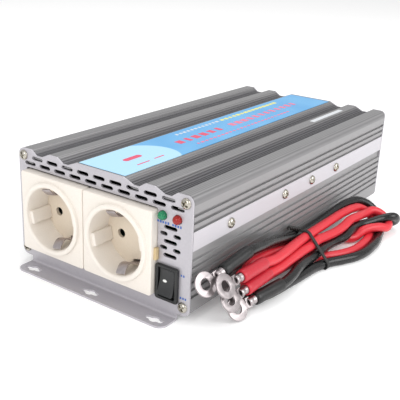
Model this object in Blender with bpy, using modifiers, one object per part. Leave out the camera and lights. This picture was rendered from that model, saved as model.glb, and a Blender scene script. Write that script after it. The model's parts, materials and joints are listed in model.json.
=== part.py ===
"""Power inverter: ribbed aluminium case, bent steel end panels, two earthed
round sockets, rocker switch, fan, battery terminals and a pair of ring-ended
battery leads folded in a hank.

Units are metres, +Z is up and -Y is the socket end. The origin lies under the
middle of the inverter, on the surface that its mounting flanges stand on.
"""
import math

import bmesh
import bpy
from mathutils import Euler, Matrix, Vector

# ---------------------------------------------------------------- dimensions
GAP = 0.0003                 # clearance between neighbouring pieces
SEAT = 0.0001                # clearance under a head or a plate that is pulled down
SHEET = 0.0012               # steel of the end panels

CASE_WIDTH = 0.130
CASE_HEIGHT = 0.067
CASE_LENGTH = 0.2496
CASE_WALL = 0.0026
CASE_CORNER = 0.004
STAND_OFF = 0.007            # case underside above the surface

VALLEY_DEPTH = 0.003         # long valleys in the case top
CENTRE_LAND = 0.0177         # half width of the land under the label
INNER_VALLEY = (0.0247, 0.0285)
INNER_LAND = (0.0332, 0.0396)
OUTER_VALLEY = (0.0460, 0.0505)
OUTER_LAND = 0.0546
TOP_RIB_PITCH = 0.0016
TOP_RIB_DEPTH = 0.0006

GROOVE_WIDTH = 0.0019        # grooves along the sides
GROOVE_DEPTH = 0.0012
GROOVE_PITCH = 0.0044
UPPER_GROOVES = (0.0106, 0.0147, 0.0188)    # below the case top
BAND_HEIGHT = 0.011          # flat band that takes the side screws
RECESS_HEIGHT = 0.0057       # wide recess under the band
FOOT_STRIP = 0.0042          # least plain strip at the bottom of a side

PAD_WIDTH = 0.0080           # corner ribs that the end screws bite in
PAD_HEIGHT = 0.0065
PAD_LIP = 0.0011             # lip over the base plate
BOSS_WIDTH = 0.0048          # narrower upper part of the lower ribs
BASE_THICKNESS = 0.0012
BASE_HEIGHT = 0.0013         # base plate above the case underside
BASE_SLOT = 0.0022           # how far the base plate goes into its grooves

FLANGE_REACH = 0.0133        # flange edge in front of the panel face
FLANGE_WIDTH = 0.1136
PANEL_CORNER = 0.004
FLANGE_CORNER = 0.005
BEND_RADIUS = 0.0024         # outside of the bend
PANEL_SKIRT = 0.0025         # panel below the case underside
KEYHOLE_PITCH = 0.0476
KEYHOLE_INSET = 0.0055       # keyhole centres from the flange edge
KEYHOLE_RADIUS = 0.0030
KEYHOLE_LENGTH = 0.0120
KEYHOLE_WIDTH = 0.0032

SCREW_SHANK = 0.0016
SCREW_LENGTH = 0.010
SIDE_SCREW_LENGTH = 0.0062
SCREW_HEAD = 0.0031
SCREW_HEAD_HEIGHT = 0.0018
SCREW_INSET = 0.0043         # panel screws from the case sides
SCREW_TOP_INSET = 0.0043
SCREW_LOW = 0.0026
SIDE_SCREWS = (0.037, 0.098, 0.134, 0.170)  # behind the front panel's face

VENT_WIDTH = 0.0023
VENT_LENGTH = 0.0091
VENT_PITCH = 0.0123
VENT_ROWS = ((0.0048, 9), (0.0086, 10))     # below the case top, slots in the row
SIDE_VENT_X = 0.0511
SIDE_VENT_TOP = 0.0206       # below the case top
SIDE_VENT_PITCH = 0.00405
SHORT_VENT_LENGTH = 0.0052
SHORT_VENT_SPREAD = 0.00445

SOCKET_SIZE = 0.050
SOCKET_PITCH = 0.0505
SOCKET_PAIR_X = -0.0081      # seam between the two sockets
SOCKET_Z = 0.0298            # above the case underside
SOCKET_PROUD = 0.005
SOCKET_CORNER = 0.0015
SOCKET_TURN = math.radians(12)
SOCKET_BACK = SHEET          # square part behind the panel face
RIM_RADIUS = 0.0225
RIM_PROUD = 0.0022
WELL_RADIUS = 0.0193
WELL_DEPTH = 0.0175
MOUTH_BEVEL = 0.0009
CUP_WALL = 0.0022
LEDGE = 0.0021               # step in the cup that the floor rests on
LEDGE_THICKNESS = 0.002
FLOOR_THICKNESS = 0.002
HOUSING_WALL = 0.0018
WINDOW_SIDE = 0.0004         # gap round the sockets in the panel window
WINDOW_TOP = 0.0010
LIP_HEIGHT = 0.0019          # housing behind the window edge
LIP_THICKNESS = 0.0025
LIP_WIDTH = 0.038
TAB_HEIGHT = 0.007
TAB_WIDTH = 0.0016
TAB_THICKNESS = 0.0026
PIN_SPREAD = 0.0095
PIN_RADIUS = 0.00275
GUIDE_WIDTH = 0.0080
GUIDE_HEIGHT = 0.0028
GUIDE_FRONT = 0.0045         # guide ribs end in front of the panel face
EARTH_SLOT = 0.0080
EARTH_SLOT_DEPTH = 0.0043
EARTH_WIDTH = 0.0066
EARTH_METAL = 0.0008

SWITCH_WIDTH = 0.0154
SWITCH_HEIGHT = 0.0210
SWITCH_X = 0.0503
SWITCH_Z = 0.0141
SWITCH_PROUD = 0.002
SWITCH_BODY_WIDTH = 0.0129
SWITCH_BODY_HEIGHT = 0.0190
SWITCH_BODY_DEPTH = 0.015
ROCKER_WIDTH = 0.0102
ROCKER_HALF = 0.0075
ROCKER_SWING = math.radians(20)
ROCKER_SLACK = 0.0005
ROCKER_PIVOT = 0.002         # pivot behind the panel face
SWITCH_POCKET = 0.0075

LED_RADIUS = 0.0025
LED_POWER = (0.0458, 0.0145)     # x, below the case top
LED_FAULT = (0.0557, 0.0145)

FAN_MARGIN = 0.0046          # above and below the fan
FAN_DEPTH = 0.015
FAN_X = -0.022
FAN_WALL = 0.0015
FAN_HOLE_INSET = 0.005
FAN_HUB = 0.0115
FAN_BLADES = 7
FAN_RUNNING_GAP = 0.0008
GUARD_WIRE = 0.0016
GUARD_RINGS = 3

TERMINAL_REACH = 0.022
TERMINAL_X = (0.022, 0.047)
TERMINAL_Z = 0.030
TERMINAL_BASE_RADIUS = 0.008
TERMINAL_BASE = 0.004
TERMINAL_NECK = 0.005
TERMINAL_LUG_SPACE = 0.0022
STUD_RADIUS = 0.003
STUD_INSIDE = 0.016
KNOB_RADIUS = 0.0072

BOARD_THICKNESS = 0.0016
BOARD_Z = 0.0135
BOARD_FRONT = 0.024          # behind the front panel's face
BOARD_RAIL = 0.0012
BOARD_RAIL_REACH = 0.004
TRANSFORMER = (0.036, 0.030, 0.032)
WINDING = (0.027, 0.040, 0.025)
TRANSFORMER_X = -0.020
TRANSFORMER_Y = (0.070, 0.130)   # behind the front panel's face
CAPACITOR_RADIUS = 0.015
CAPACITOR_HEIGHT = 0.036
CAPACITOR_PLACE = (0.026, 0.095)
CLAMP_THICKNESS = 0.004
CLAMP_HEIGHT = 0.010
CLAMP_MARGIN = 0.008

LABEL_HALF = 0.0173
LABEL_THICKNESS = 0.00025
LABEL_MARGIN = 0.0008        # label short of the case ends

CABLE_RADIUS = 0.003
SLEEVE_RADIUS = 0.0039
SLEEVE_LENGTH = 0.024
LUG_RADIUS = 0.007
LUG_HOLE = 0.0032
LUG_METAL = 0.0012
LUG_BARREL_RADIUS = 0.0026
LUG_BARREL_START = 0.009
LUG_BARREL_END = 0.0175
LUG_TO_SLEEVE = 0.0145       # ring centre to the sleeve's front end

# name, ring centre (out from the case side, behind the front panel's face, z), way to the sleeve
LEADS = (
    ("black_1", (0.0061, 0.0055, 0.0249), (0.080, 1.0, 0.185)),
    ("red_1", (0.0137, 0.0132, 0.0234), (0.035, 1.0, -0.002)),
    ("red_2", (0.0150, 0.0170, 0.0140), (0.030, 1.0, 0.040)),
    ("black_2", (0.0163, 0.0226, 0.0067), (0.170, 1.0, 0.055)),
)
LUG_ROLL = math.radians(55)
HANK_FRONT = 0.065           # behind the front panel's face
HANK_REAR = 0.222
HANK_TOP = 0.026
HANK_FLOOR = 0.0013
HANK_INSIDE = 0.0015         # out from the case side, as all widths of the hank
HANK_WAIST = 0.0245
HANK_OUTSIDE = 0.0390
TIE_Y = 0.112
TIE_WIDTH = 0.0026
TIE_THICKNESS = 0.0008
FOLD_FRONT = 0.024           # front folds that lie against the case
FOLD_REAR = 0.078
FOLD_TOP = 0.037
FOLD_OUTSIDE = 0.0037
FOLD_SHOULDER = 0.0155       # where the uppermost lead joins the hank
LOOP_FRONT = 0.029           # front loop of cable on the ground
LOOP_TOP = 0.0036

ROUND = 40                   # sides of large round pieces
SMALL_ROUND = 14

# ------------------------------------------------------------ derived places
BODY_LENGTH = CASE_LENGTH + 2 * (SHEET + GAP)
TOTAL_LENGTH = FLANGE_REACH + BODY_LENGTH + TERMINAL_REACH
FRONT_Y = -TOTAL_LENGTH / 2 + FLANGE_REACH      # outer face of the front panel
REAR_Y = FRONT_Y + BODY_LENGTH                  # outer face of the rear panel
CASE_FRONT_Y = FRONT_Y + SHEET + GAP
CASE_REAR_Y = REAR_Y - SHEET - GAP
CASE_MID_Y = (CASE_FRONT_Y + CASE_REAR_Y) / 2
CASE_TOP_Z = STAND_OFF + CASE_HEIGHT
HALF_WIDTH = CASE_WIDTH / 2
INNER_HALF = HALF_WIDTH - CASE_WALL
INNER_TOP_Z = CASE_TOP_Z - VALLEY_DEPTH - CASE_WALL
BASE_TOP_Z = STAND_OFF + BASE_HEIGHT + BASE_THICKNESS
BAND_TOP = UPPER_GROOVES[-1] + GROOVE_WIDTH / 2         # below the case top
BAND_Z = CASE_TOP_Z - BAND_TOP - BAND_HEIGHT / 2
SCREW_HOLE = SCREW_SHANK + GAP
PANEL_SCREWS = [
    (side * (HALF_WIDTH - SCREW_INSET), z)
    for side in (-1, 1)
    for z in (STAND_OFF + SCREW_LOW, CASE_TOP_Z - SCREW_TOP_INSET)
]
FAN_SIZE = INNER_TOP_Z - BASE_TOP_Z - 2 * FAN_MARGIN
FAN_Z = BASE_TOP_Z + FAN_MARGIN + FAN_SIZE / 2
FAN_DUCT = FAN_SIZE / 2 - FAN_WALL
FAN_CORNER = FAN_SIZE / 2 - FAN_HOLE_INSET

FACE_FRONT = Euler((math.pi / 2, 0, 0))         # local +Z becomes -Y
FACE_REAR = Euler((-math.pi / 2, 0, 0))         # local +Z becomes +Y
FACE_RIGHT = Euler((0, math.pi / 2, 0))         # local +Z becomes +X
FACE_LEFT = Euler((0, -math.pi / 2, 0))         # local +Z becomes -X
UPRIGHT = Euler((0, 0, 0))
ACROSS = Euler((math.pi / 2, 0, math.pi / 2))   # local +X becomes +Y, +Y becomes +Z

# ----------------------------------------------------------------- materials
FINISHES = {
    "aluminium": ((0.42, 0.42, 0.43), 0.42, 0.9),
    "panel_steel": ((0.62, 0.61, 0.63), 0.45, 0.6),
    "ivory_plastic": ((0.86, 0.82, 0.73), 0.4, 0.0),
    "black_plastic": ((0.03, 0.03, 0.03), 0.4, 0.0),
    "green_lens": ((0.05, 0.55, 0.22), 0.2, 0.0),
    "red_lens": ((0.6, 0.03, 0.03), 0.2, 0.0),
    "nickel_screw": ((0.72, 0.70, 0.66), 0.25, 1.0),
    "label_film": ((0.35, 0.62, 0.87), 0.4, 0.0),
    "red_plastic": ((0.7, 0.04, 0.05), 0.4, 0.0),
    "brass": ((0.75, 0.60, 0.30), 0.3, 1.0),
    "board": ((0.05, 0.25, 0.10), 0.5, 0.0),
    "ferrite": ((0.10, 0.10, 0.10), 0.6, 0.0),
    "capacitor_film": ((0.10, 0.12, 0.35), 0.4, 0.0),
    "tinned_copper": ((0.75, 0.74, 0.72), 0.3, 1.0),
    "red_pvc": ((0.80, 0.05, 0.07), 0.4, 0.0),
    "black_pvc": ((0.03, 0.03, 0.03), 0.4, 0.0),
}


def finish(name):
    """The Principled material of that name, made once."""
    found = bpy.data.materials.get(name)
    if found:
        return found
    colour, roughness, metallic = FINISHES[name]
    material = bpy.data.materials.new(name)
    material.use_nodes = True
    shader = material.node_tree.nodes["Principled BSDF"]
    shader.inputs["Base Color"].default_value = (*colour, 1)
    shader.inputs["Roughness"].default_value = roughness
    shader.inputs["Metallic"].default_value = metallic
    material.diffuse_color = (*colour, 1)
    return material


# ------------------------------------------------------------------- helpers
def on_front(x, z, out=0.0):
    """A place at the front panel: z above the case underside, out from its face."""
    return (x, FRONT_Y - out, STAND_OFF + z)


def on_rear(x, z, out=0.0):
    """A place at the rear panel, likewise."""
    return (x, REAR_Y + out, STAND_OFF + z)


def frame(x_axis, y_axis):
    """The turn that takes local X and local Y to these directions."""
    x_axis, y_axis = Vector(x_axis).normalized(), Vector(y_axis).normalized()
    return Matrix((x_axis, y_axis, x_axis.cross(y_axis))).transposed().to_euler()


def start_scene():
    """Empty the file and make one collection for the parts, one for the cutters."""
    for thing in list(bpy.data.objects):
        bpy.data.objects.remove(thing, do_unlink=True)
    made = []
    for name in ("power_inverter", "cutters"):
        group = bpy.data.collections.new(name)
        bpy.context.scene.collection.children.link(group)
        made.append(group)
    return made


PARTS, CUTTERS = start_scene()


def place(mesh, name, material, location=(0, 0, 0), turn=UPRIGHT):
    """An object for the mesh: a part if it has a material, else a cutter."""
    thing = bpy.data.objects.new(name, mesh)
    thing.location = location
    thing.rotation_euler = turn
    if material:
        PARTS.objects.link(thing)
        mesh.materials.clear()
        mesh.materials.append(finish(material))
    else:
        CUTTERS.objects.link(thing)
        thing.hide_render = True
        thing.display_type = "WIRE"
    return thing


def mesh_from(bm, name):
    """A mesh made from the bmesh, which is freed."""
    bmesh.ops.recalc_face_normals(bm, faces=bm.faces)
    mesh = bpy.data.meshes.new(name)
    bm.to_mesh(mesh)
    bm.free()
    return mesh


def block(name, material, size, centre, bevel=0.0, turn=UPRIGHT):
    """A box, with its upright edges rounded if a bevel is given."""
    bm = bmesh.new()
    bmesh.ops.create_cube(bm, size=1)
    bmesh.ops.scale(bm, vec=size, verts=bm.verts)
    if bevel:
        upright = [e for e in bm.edges if abs(e.verts[0].co.z - e.verts[1].co.z) > 1e-6]
        bmesh.ops.bevel(bm, geom=upright, offset=bevel, segments=3, affect="EDGES", profile=0.5)
    return place(mesh_from(bm, name), name, material, centre, turn)


def rod(name, material, radius, length, centre, turn=UPRIGHT, sides=SMALL_ROUND):
    """A cylinder about its local Z axis."""
    bm = bmesh.new()
    bmesh.ops.create_cone(
        bm, cap_ends=True, segments=sides, radius1=radius, radius2=radius, depth=length
    )
    thing = place(mesh_from(bm, name), name, material, centre, turn)
    shade_round(thing)
    return thing


def shade_round(thing):
    """Smooth shading that keeps the true edges."""
    thing.data.shade_smooth()
    thing.data.set_sharp_from_angle(angle=math.radians(35))


def plate(name, material, outlines, thickness, centre, turn=UPRIGHT):
    """Flat closed outlines, extruded half the thickness each way along local Z."""
    curve = bpy.data.curves.new(name, "CURVE")
    curve.dimensions = "2D"
    curve.fill_mode = "BOTH"
    curve.extrude = thickness / 2
    for outline in outlines:
        spline = curve.splines.new("POLY")
        spline.points.add(len(outline) - 1)
        for point, (u, v) in zip(spline.points, outline):
            point.co = (u, v, 0, 1)
        spline.use_cyclic_u = True
    drawn = bpy.data.objects.new(name + "_outline", curve)
    bpy.context.scene.collection.objects.link(drawn)
    bpy.context.view_layer.update()
    graph = bpy.context.evaluated_depsgraph_get()
    mesh = bpy.data.meshes.new_from_object(drawn.evaluated_get(graph))
    bpy.data.objects.remove(drawn, do_unlink=True)
    mesh.name = name
    bm = bmesh.new()
    bm.from_mesh(mesh)
    bmesh.ops.remove_doubles(bm, verts=bm.verts, dist=1e-6)
    bmesh.ops.recalc_face_normals(bm, faces=bm.faces)
    bm.to_mesh(mesh)
    bm.free()
    return place(mesh, name, material, centre, turn)


def turned(name, material, profile, centre, turn=UPRIGHT, sides=SMALL_ROUND, closed=False):
    """A turned piece. The profile is (radius, height), down its outer side."""
    bm = bmesh.new()
    points = [bm.verts.new((radius, 0, height)) for radius, height in profile]
    for first, second in zip(points, points[1:]):
        bm.edges.new((first, second))
    if closed:
        bm.edges.new((points[-1], points[0]))
    mesh = bpy.data.meshes.new(name)
    bm.to_mesh(mesh)
    bm.free()
    thing = place(mesh, name, material, centre, turn)
    screw = thing.modifiers.new("turn", "SCREW")
    screw.axis = "Z"
    screw.steps = sides
    screw.render_steps = sides
    screw.use_merge_vertices = True
    screw.merge_threshold = 1e-5
    screw.use_smooth_shade = True
    return thing


def combine(target, tool, operation="DIFFERENCE"):
    """Cut, join or keep the common part with an exact Boolean."""
    boolean = target.modifiers.new(tool.name, "BOOLEAN")
    boolean.operation = operation
    boolean.solver = "EXACT"
    boolean.object = tool
    return target


def arc(centre, radius, start, end, steps):
    """Points along an arc, both ends included. Angles in degrees."""
    points = []
    for step in range(steps + 1):
        angle = math.radians(start + (end - start) * step / steps)
        points.append((centre[0] + radius * math.cos(angle), centre[1] + radius * math.sin(angle)))
    return points


def circle(centre, radius, sides=12):
    """A circle's outline."""
    return arc(centre, radius, 0, 360 - 360 / sides, sides - 1)


def stadium(centre, length, width, steps=3):
    """A slot's outline, long way along its first axis."""
    reach = (length - width) / 2
    right = arc((centre[0] + reach, centre[1]), width / 2, -90, 90, steps)
    left = arc((centre[0] - reach, centre[1]), width / 2, 90, 270, steps)
    return right + left


def rounded(centre, width, height, radius, steps=4):
    """A rectangle's outline with round corners."""
    u, v = width / 2 - radius, height / 2 - radius
    points = []
    for number, (across, up) in enumerate(((u, v), (-u, v), (-u, -v), (u, -v))):
        corner = (centre[0] + across, centre[1] + up)
        points += arc(corner, radius, 90 * number, 90 * number + 90, steps)
    return points


def strip(path, thickness):
    """The outline of a bent metal strip, given its middle line."""
    sides = ([], [])
    for number, point in enumerate(path):
        before = Vector(path[max(number - 1, 0)])
        after = Vector(path[min(number + 1, len(path) - 1)])
        along = (after - before).normalized()
        normal = Vector((-along.y, along.x)) * thickness / 2
        sides[0].append(tuple(Vector(point) + normal))
        sides[1].append(tuple(Vector(point) - normal))
    return sides[0] + sides[1][::-1]


# ---------------------------------------------------------------- the case
def side_grooves():
    """(middle, width) of each groove along a side, from the top down, heights from
    the case underside."""
    grooves = [(CASE_HEIGHT - down, GROOVE_WIDTH) for down in UPPER_GROOVES]
    recess = CASE_HEIGHT - BAND_TOP - BAND_HEIGHT - RECESS_HEIGHT / 2
    grooves.append((recess, RECESS_HEIGHT))
    middle = recess - RECESS_HEIGHT / 2 - GROOVE_PITCH + GROOVE_WIDTH / 2
    while middle - GROOVE_WIDTH / 2 >= FOOT_STRIP:
        grooves.append((middle, GROOVE_WIDTH))
        middle -= GROOVE_PITCH
    return grooves


def coarse_top():
    """The coarse top from the centre land to the outer land: (x, depth below the top)."""
    return [
        (CENTRE_LAND, 0.0),
        (INNER_VALLEY[0], VALLEY_DEPTH), (INNER_VALLEY[1], VALLEY_DEPTH),
        (INNER_LAND[0], 0.0), (INNER_LAND[1], 0.0),
        (OUTER_VALLEY[0], VALLEY_DEPTH), (OUTER_VALLEY[1], VALLEY_DEPTH),
        (OUTER_LAND, 0.0),
    ]


def depth_at(x):
    """How far the coarse top lies below the lands at x."""
    line = [(0.0, 0.0)] + coarse_top() + [(HALF_WIDTH, 0.0)]
    for (x0, d0), (x1, d1) in zip(line, line[1:]):
        if x0 <= x <= x1:
            return d0 + (d1 - d0) * (x - x0) / (x1 - x0)
    return 0.0


def fine_ribs(start, end):
    """Small ribs that follow the coarse top from start to end."""
    points = []
    count = int((end - start) / TOP_RIB_PITCH)
    pitch = (end - start) / count
    for rib in range(count):
        for share, sunk in ((0.05, 0), (0.50, 0), (0.62, 1), (0.93, 1)):
            x = start + (rib + share) * pitch
            points.append((x, depth_at(x) + sunk * TOP_RIB_DEPTH))
    return points


def top_corner():
    """The round top corner of the right side, from the top down."""
    return arc((HALF_WIDTH - CASE_CORNER, CASE_HEIGHT - CASE_CORNER), CASE_CORNER, 90, 0, 6)


def case_outside():
    """Right half of the outside, from the top middle round to the bottom edge, as
    (x, height above the case underside)."""
    sunk = LABEL_THICKNESS + GAP
    line = [(0.0, sunk), (CENTRE_LAND - 0.0001, sunk), (CENTRE_LAND, 0.0002)]
    line += fine_ribs(CENTRE_LAND + 0.0006, INNER_LAND[0])
    line += [(INNER_LAND[0] + 0.0003, 0.0), (INNER_LAND[1], 0.0)]
    line += fine_ribs(INNER_LAND[1] + 0.0004, OUTER_LAND)
    line.append((OUTER_LAND + 0.0003, 0.0))
    points = [(x, CASE_HEIGHT - depth) for x, depth in line] + top_corner()
    ease = 0.0003
    for middle, width in side_grooves():
        top, bottom = middle + width / 2, middle - width / 2
        points += [
            (HALF_WIDTH, top), (HALF_WIDTH - GROOVE_DEPTH, top - ease),
            (HALF_WIDTH - GROOVE_DEPTH, bottom + ease), (HALF_WIDTH, bottom),
        ]
    points.append((HALF_WIDTH, 0.0))
    return points


def case_inside():
    """Right half of the inside, from the bottom edge up to the top middle."""
    pad_in = INNER_HALF - PAD_WIDTH
    boss_in = INNER_HALF - BOSS_WIDTH
    slot_low = BASE_HEIGHT - GAP
    slot_high = BASE_HEIGHT + BASE_THICKNESS + GAP
    slot_end = pad_in + BASE_SLOT + GAP
    rail_in = INNER_HALF - BOARD_RAIL_REACH
    board_low = BOARD_Z - GAP
    board_high = BOARD_Z + BOARD_THICKNESS + GAP
    low = CASE_HEIGHT - VALLEY_DEPTH - CASE_WALL
    high = CASE_HEIGHT - CASE_WALL - LABEL_THICKNESS - GAP
    pad_low = CASE_HEIGHT - CASE_WALL - PAD_HEIGHT
    ease = CASE_WALL / 4
    return [
        (pad_in, 0.0), (pad_in, slot_low), (slot_end, slot_low),
        (slot_end, slot_high), (pad_in, slot_high), (pad_in, slot_high + PAD_LIP),
        (boss_in, slot_high + PAD_LIP), (boss_in, PAD_HEIGHT),
        (INNER_HALF, PAD_HEIGHT), (INNER_HALF, board_low - BOARD_RAIL),
        (rail_in, board_low - BOARD_RAIL), (rail_in, board_low),
        (INNER_HALF, board_low), (INNER_HALF, board_high),
        (rail_in, board_high), (rail_in, board_high + BOARD_RAIL),
        (INNER_HALF, board_high + BOARD_RAIL), (INNER_HALF, pad_low),
        (pad_in, pad_low), (pad_in, low), (OUTER_VALLEY[0] - ease, low),
        (INNER_LAND[1] - ease, high), (INNER_LAND[0] + ease, high),
        (INNER_VALLEY[1] + ease, low), (INNER_VALLEY[0] - ease, low),
        (CENTRE_LAND - ease, high), (0.0, high),
    ]


def both_halves(points):
    """The outline closed by its own mirror image about x = 0."""
    return points + [(-x, z) for x, z in reversed(points) if x > 1e-9]


def side_screw_holes():
    """A cutter for the side screws, right through from side to side."""
    places = [(FRONT_Y + behind, BAND_Z) for behind in SIDE_SCREWS]
    holes = [circle(place, SCREW_HOLE, 12) for place in places]
    return plate("side_screw_holes", None, holes, CASE_WIDTH + 0.01, (0, 0, 0), ACROSS)


def make_case():
    outline = both_halves(case_outside() + case_inside())
    case = plate("case_extrusion", "aluminium", [outline], CASE_LENGTH,
                 (0, CASE_MID_Y, STAND_OFF), FACE_FRONT)
    deep = 2 * (SCREW_LENGTH - SHEET)
    for name, end in (("front", CASE_FRONT_Y), ("rear", CASE_REAR_Y)):
        holes = [circle(place, SCREW_HOLE, 12) for place in PANEL_SCREWS]
        combine(case, plate(name + "_end_holes", None, holes, deep, (0, end, 0), FACE_FRONT))
    holes = side_screw_holes()
    combine(case, holes)
    block("top_label", "label_film",
          (2 * LABEL_HALF, CASE_LENGTH - 2 * LABEL_MARGIN, LABEL_THICKNESS),
          (0, CASE_MID_Y, CASE_TOP_Z - LABEL_THICKNESS / 2))
    half_base = INNER_HALF - PAD_WIDTH + BASE_SLOT
    block("base_plate", "panel_steel", (2 * half_base, CASE_LENGTH - 2 * GAP, BASE_THICKNESS),
          (0, CASE_MID_Y, BASE_TOP_Z - BASE_THICKNESS / 2))
    first, last = SIDE_SCREWS[0] - CLAMP_MARGIN, SIDE_SCREWS[-1] + CLAMP_MARGIN
    for side, sign in (("right", 1), ("left", -1)):
        x = sign * (INNER_HALF - GAP - CLAMP_THICKNESS / 2)
        bar = block("clamp_bar_" + side, "aluminium",
                    (CLAMP_THICKNESS, last - first, CLAMP_HEIGHT),
                    (x, FRONT_Y + (first + last) / 2, BAND_Z))
        combine(bar, holes)


# ---------------------------------------------------------------- end panels
def keyhole(x, y):
    """A round hole with a slot to both sides."""
    half_angle = math.degrees(math.asin(KEYHOLE_WIDTH / 2 / KEYHOLE_RADIUS))
    reach = (KEYHOLE_LENGTH - KEYHOLE_WIDTH) / 2
    round_part = 180 - 2 * half_angle
    return (
        arc((x + reach, y), KEYHOLE_WIDTH / 2, -90, 90, 4)
        + arc((x, y), KEYHOLE_RADIUS, half_angle, half_angle + round_part, 5)
        + arc((x - reach, y), KEYHOLE_WIDTH / 2, 90, 270, 4)
        + arc((x, y), KEYHOLE_RADIUS, 180 + half_angle, 180 + half_angle + round_part, 5)
    )


def make_panel(name, face_y, out, openings):
    """Bent sheet: upright panel with a flange to stand on. out is -1 at the front
    and +1 at the rear; the openings are outlines in x and z."""
    inside = BEND_RADIUS - SHEET
    bend = (inside, BEND_RADIUS)
    profile = [(FLANGE_REACH, 0.0)] + arc(bend, BEND_RADIUS, 270, 180, 5)
    profile += [(-SHEET, CASE_TOP_Z + 0.005), (0.0, CASE_TOP_Z + 0.005)]
    profile += arc(bend, inside, 180, 270, 5) + [(FLANGE_REACH, SHEET)]
    section = [(face_y + out * reach, z) for reach, z in profile]
    panel = plate(name, "panel_steel", [section], CASE_WIDTH + 0.01, (0, 0, 0), ACROSS)

    low = -PANEL_SKIRT + PANEL_CORNER
    view = [(0.0, CASE_HEIGHT)]
    view += [(x, CASE_HEIGHT - depth) for x, depth in coarse_top()] + top_corner()
    view += arc((HALF_WIDTH - PANEL_CORNER, low), PANEL_CORNER, 0, -90, 4)
    view += [(FLANGE_WIDTH / 2, -PANEL_SKIRT), (FLANGE_WIDTH / 2, -STAND_OFF - 0.002)]
    outline = both_halves(view)
    front_view = plate(name + "_view", None, [outline], 0.06, (0, face_y, STAND_OFF), FACE_FRONT)
    combine(panel, front_view, "INTERSECT")

    edge = face_y + out * FLANGE_REACH
    round_y = edge - out * FLANGE_CORNER
    start = 0 if out > 0 else -90
    for sign in (-1, 1):
        middle = (sign * (FLANGE_WIDTH / 2 - FLANGE_CORNER), round_y)
        angles = (start, start + 90) if sign > 0 else (90, 180) if out > 0 else (180, 270)
        far = (middle[0] + sign * 0.02, middle[1] + out * 0.02)
        curve = arc(middle, FLANGE_CORNER, *angles, 6)
        if sign * out < 0:
            curve.reverse()
        corner = [(far[0], middle[1])] + curve + [(middle[0], far[1]), far]
        side = "_right" if sign > 0 else "_left"
        combine(panel, plate(name + side + "_corner", None, [corner], 0.01, (0, 0, 0)))

    centre_y = edge - out * KEYHOLE_INSET
    holes = [keyhole(number * KEYHOLE_PITCH, centre_y) for number in (-1, 0, 1)]
    combine(panel, plate(name + "_keyholes", None, holes, 0.008, (0, 0, 0)))
    holes = openings + [circle(place, SCREW_HOLE) for place in PANEL_SCREWS]
    combine(panel, plate(name + "_openings", None, holes, 0.008, (0, face_y, 0), FACE_FRONT))
    return panel


def front_openings():
    """Vents, socket window, switch and lamp holes of the front panel."""
    holes = []
    for below, count in VENT_ROWS:
        for number in range(count):
            x = (number - (count - 1) / 2) * VENT_PITCH
            holes.append(stadium((x, CASE_TOP_Z - below), VENT_LENGTH, VENT_WIDTH))
    for row in range(5):
        z = CASE_TOP_Z - SIDE_VENT_TOP - row * SIDE_VENT_PITCH
        if row % 2 == 0:
            holes.append(stadium((SIDE_VENT_X, z), VENT_LENGTH, VENT_WIDTH))
            continue
        for sign in (-1, 1):
            x = SIDE_VENT_X + sign * SHORT_VENT_SPREAD
            holes.append(stadium((x, z), SHORT_VENT_LENGTH, VENT_WIDTH))
    width = SOCKET_PITCH + SOCKET_SIZE + 2 * WINDOW_SIDE
    height = SOCKET_SIZE + WINDOW_SIDE + WINDOW_TOP
    middle = STAND_OFF + SOCKET_Z + (WINDOW_TOP - WINDOW_SIDE) / 2
    holes.append(rounded((SOCKET_PAIR_X, middle), width, height, SOCKET_CORNER))
    holes.append(rounded((SWITCH_X, STAND_OFF + SWITCH_Z), SWITCH_BODY_WIDTH + 2 * GAP,
                         SWITCH_BODY_HEIGHT + 2 * GAP, 0.001))
    for x, below in (LED_POWER, LED_FAULT):
        holes.append(circle((x, CASE_TOP_Z - below), LED_RADIUS + GAP))
    return holes


def fan_corners():
    """The four screw places of the fan, in x and z."""
    return [(FAN_X + i * FAN_CORNER, FAN_Z + j * FAN_CORNER) for i in (-1, 1) for j in (-1, 1)]


def rear_openings():
    """Fan and terminal holes of the rear panel."""
    holes = [circle((FAN_X, FAN_Z), FAN_DUCT - 0.0005, ROUND)]
    holes += [circle(place, SCREW_HOLE) for place in fan_corners()]
    for x in TERMINAL_X:
        holes.append(circle((x, STAND_OFF + TERMINAL_Z), TERMINAL_NECK + GAP))
    return holes


# -------------------------------------------------------------------- screws
def make_screw(name, place, turn, length=SCREW_LENGTH):
    """A pan head screw; its head stands on the local plane z = 0."""
    head, high = SCREW_HEAD, SCREW_HEAD_HEIGHT
    profile = [
        (0.0, high), (head * 0.75, high * 0.8), (head, high * 0.25), (head, 0.0),
        (SCREW_SHANK, 0.0), (SCREW_SHANK, -length), (0.0, -length),
    ]
    turned(name, "nickel_screw", profile, place, turn, sides=10)


def make_screws():
    for number, (x, z) in enumerate(PANEL_SCREWS, 1):
        make_screw("front_screw_%d" % number, (x, FRONT_Y - SEAT, z), FACE_FRONT)
        make_screw("rear_screw_%d" % number, (x, REAR_Y + SEAT, z), FACE_REAR)
    for number, behind in enumerate(SIDE_SCREWS, 1):
        y = FRONT_Y + behind
        out = HALF_WIDTH + SEAT
        make_screw("side_screw_right_%d" % number, (out, y, BAND_Z), FACE_RIGHT, SIDE_SCREW_LENGTH)
        make_screw("side_screw_left_%d" % number, (-out, y, BAND_Z), FACE_LEFT, SIDE_SCREW_LENGTH)
    out = GUARD_WIRE + 2 * SEAT
    for number, (x, z) in enumerate(fan_corners(), 1):
        make_screw("fan_screw_%d" % number, (x, REAR_Y + out, z), FACE_REAR, SCREW_LENGTH + out)


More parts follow.
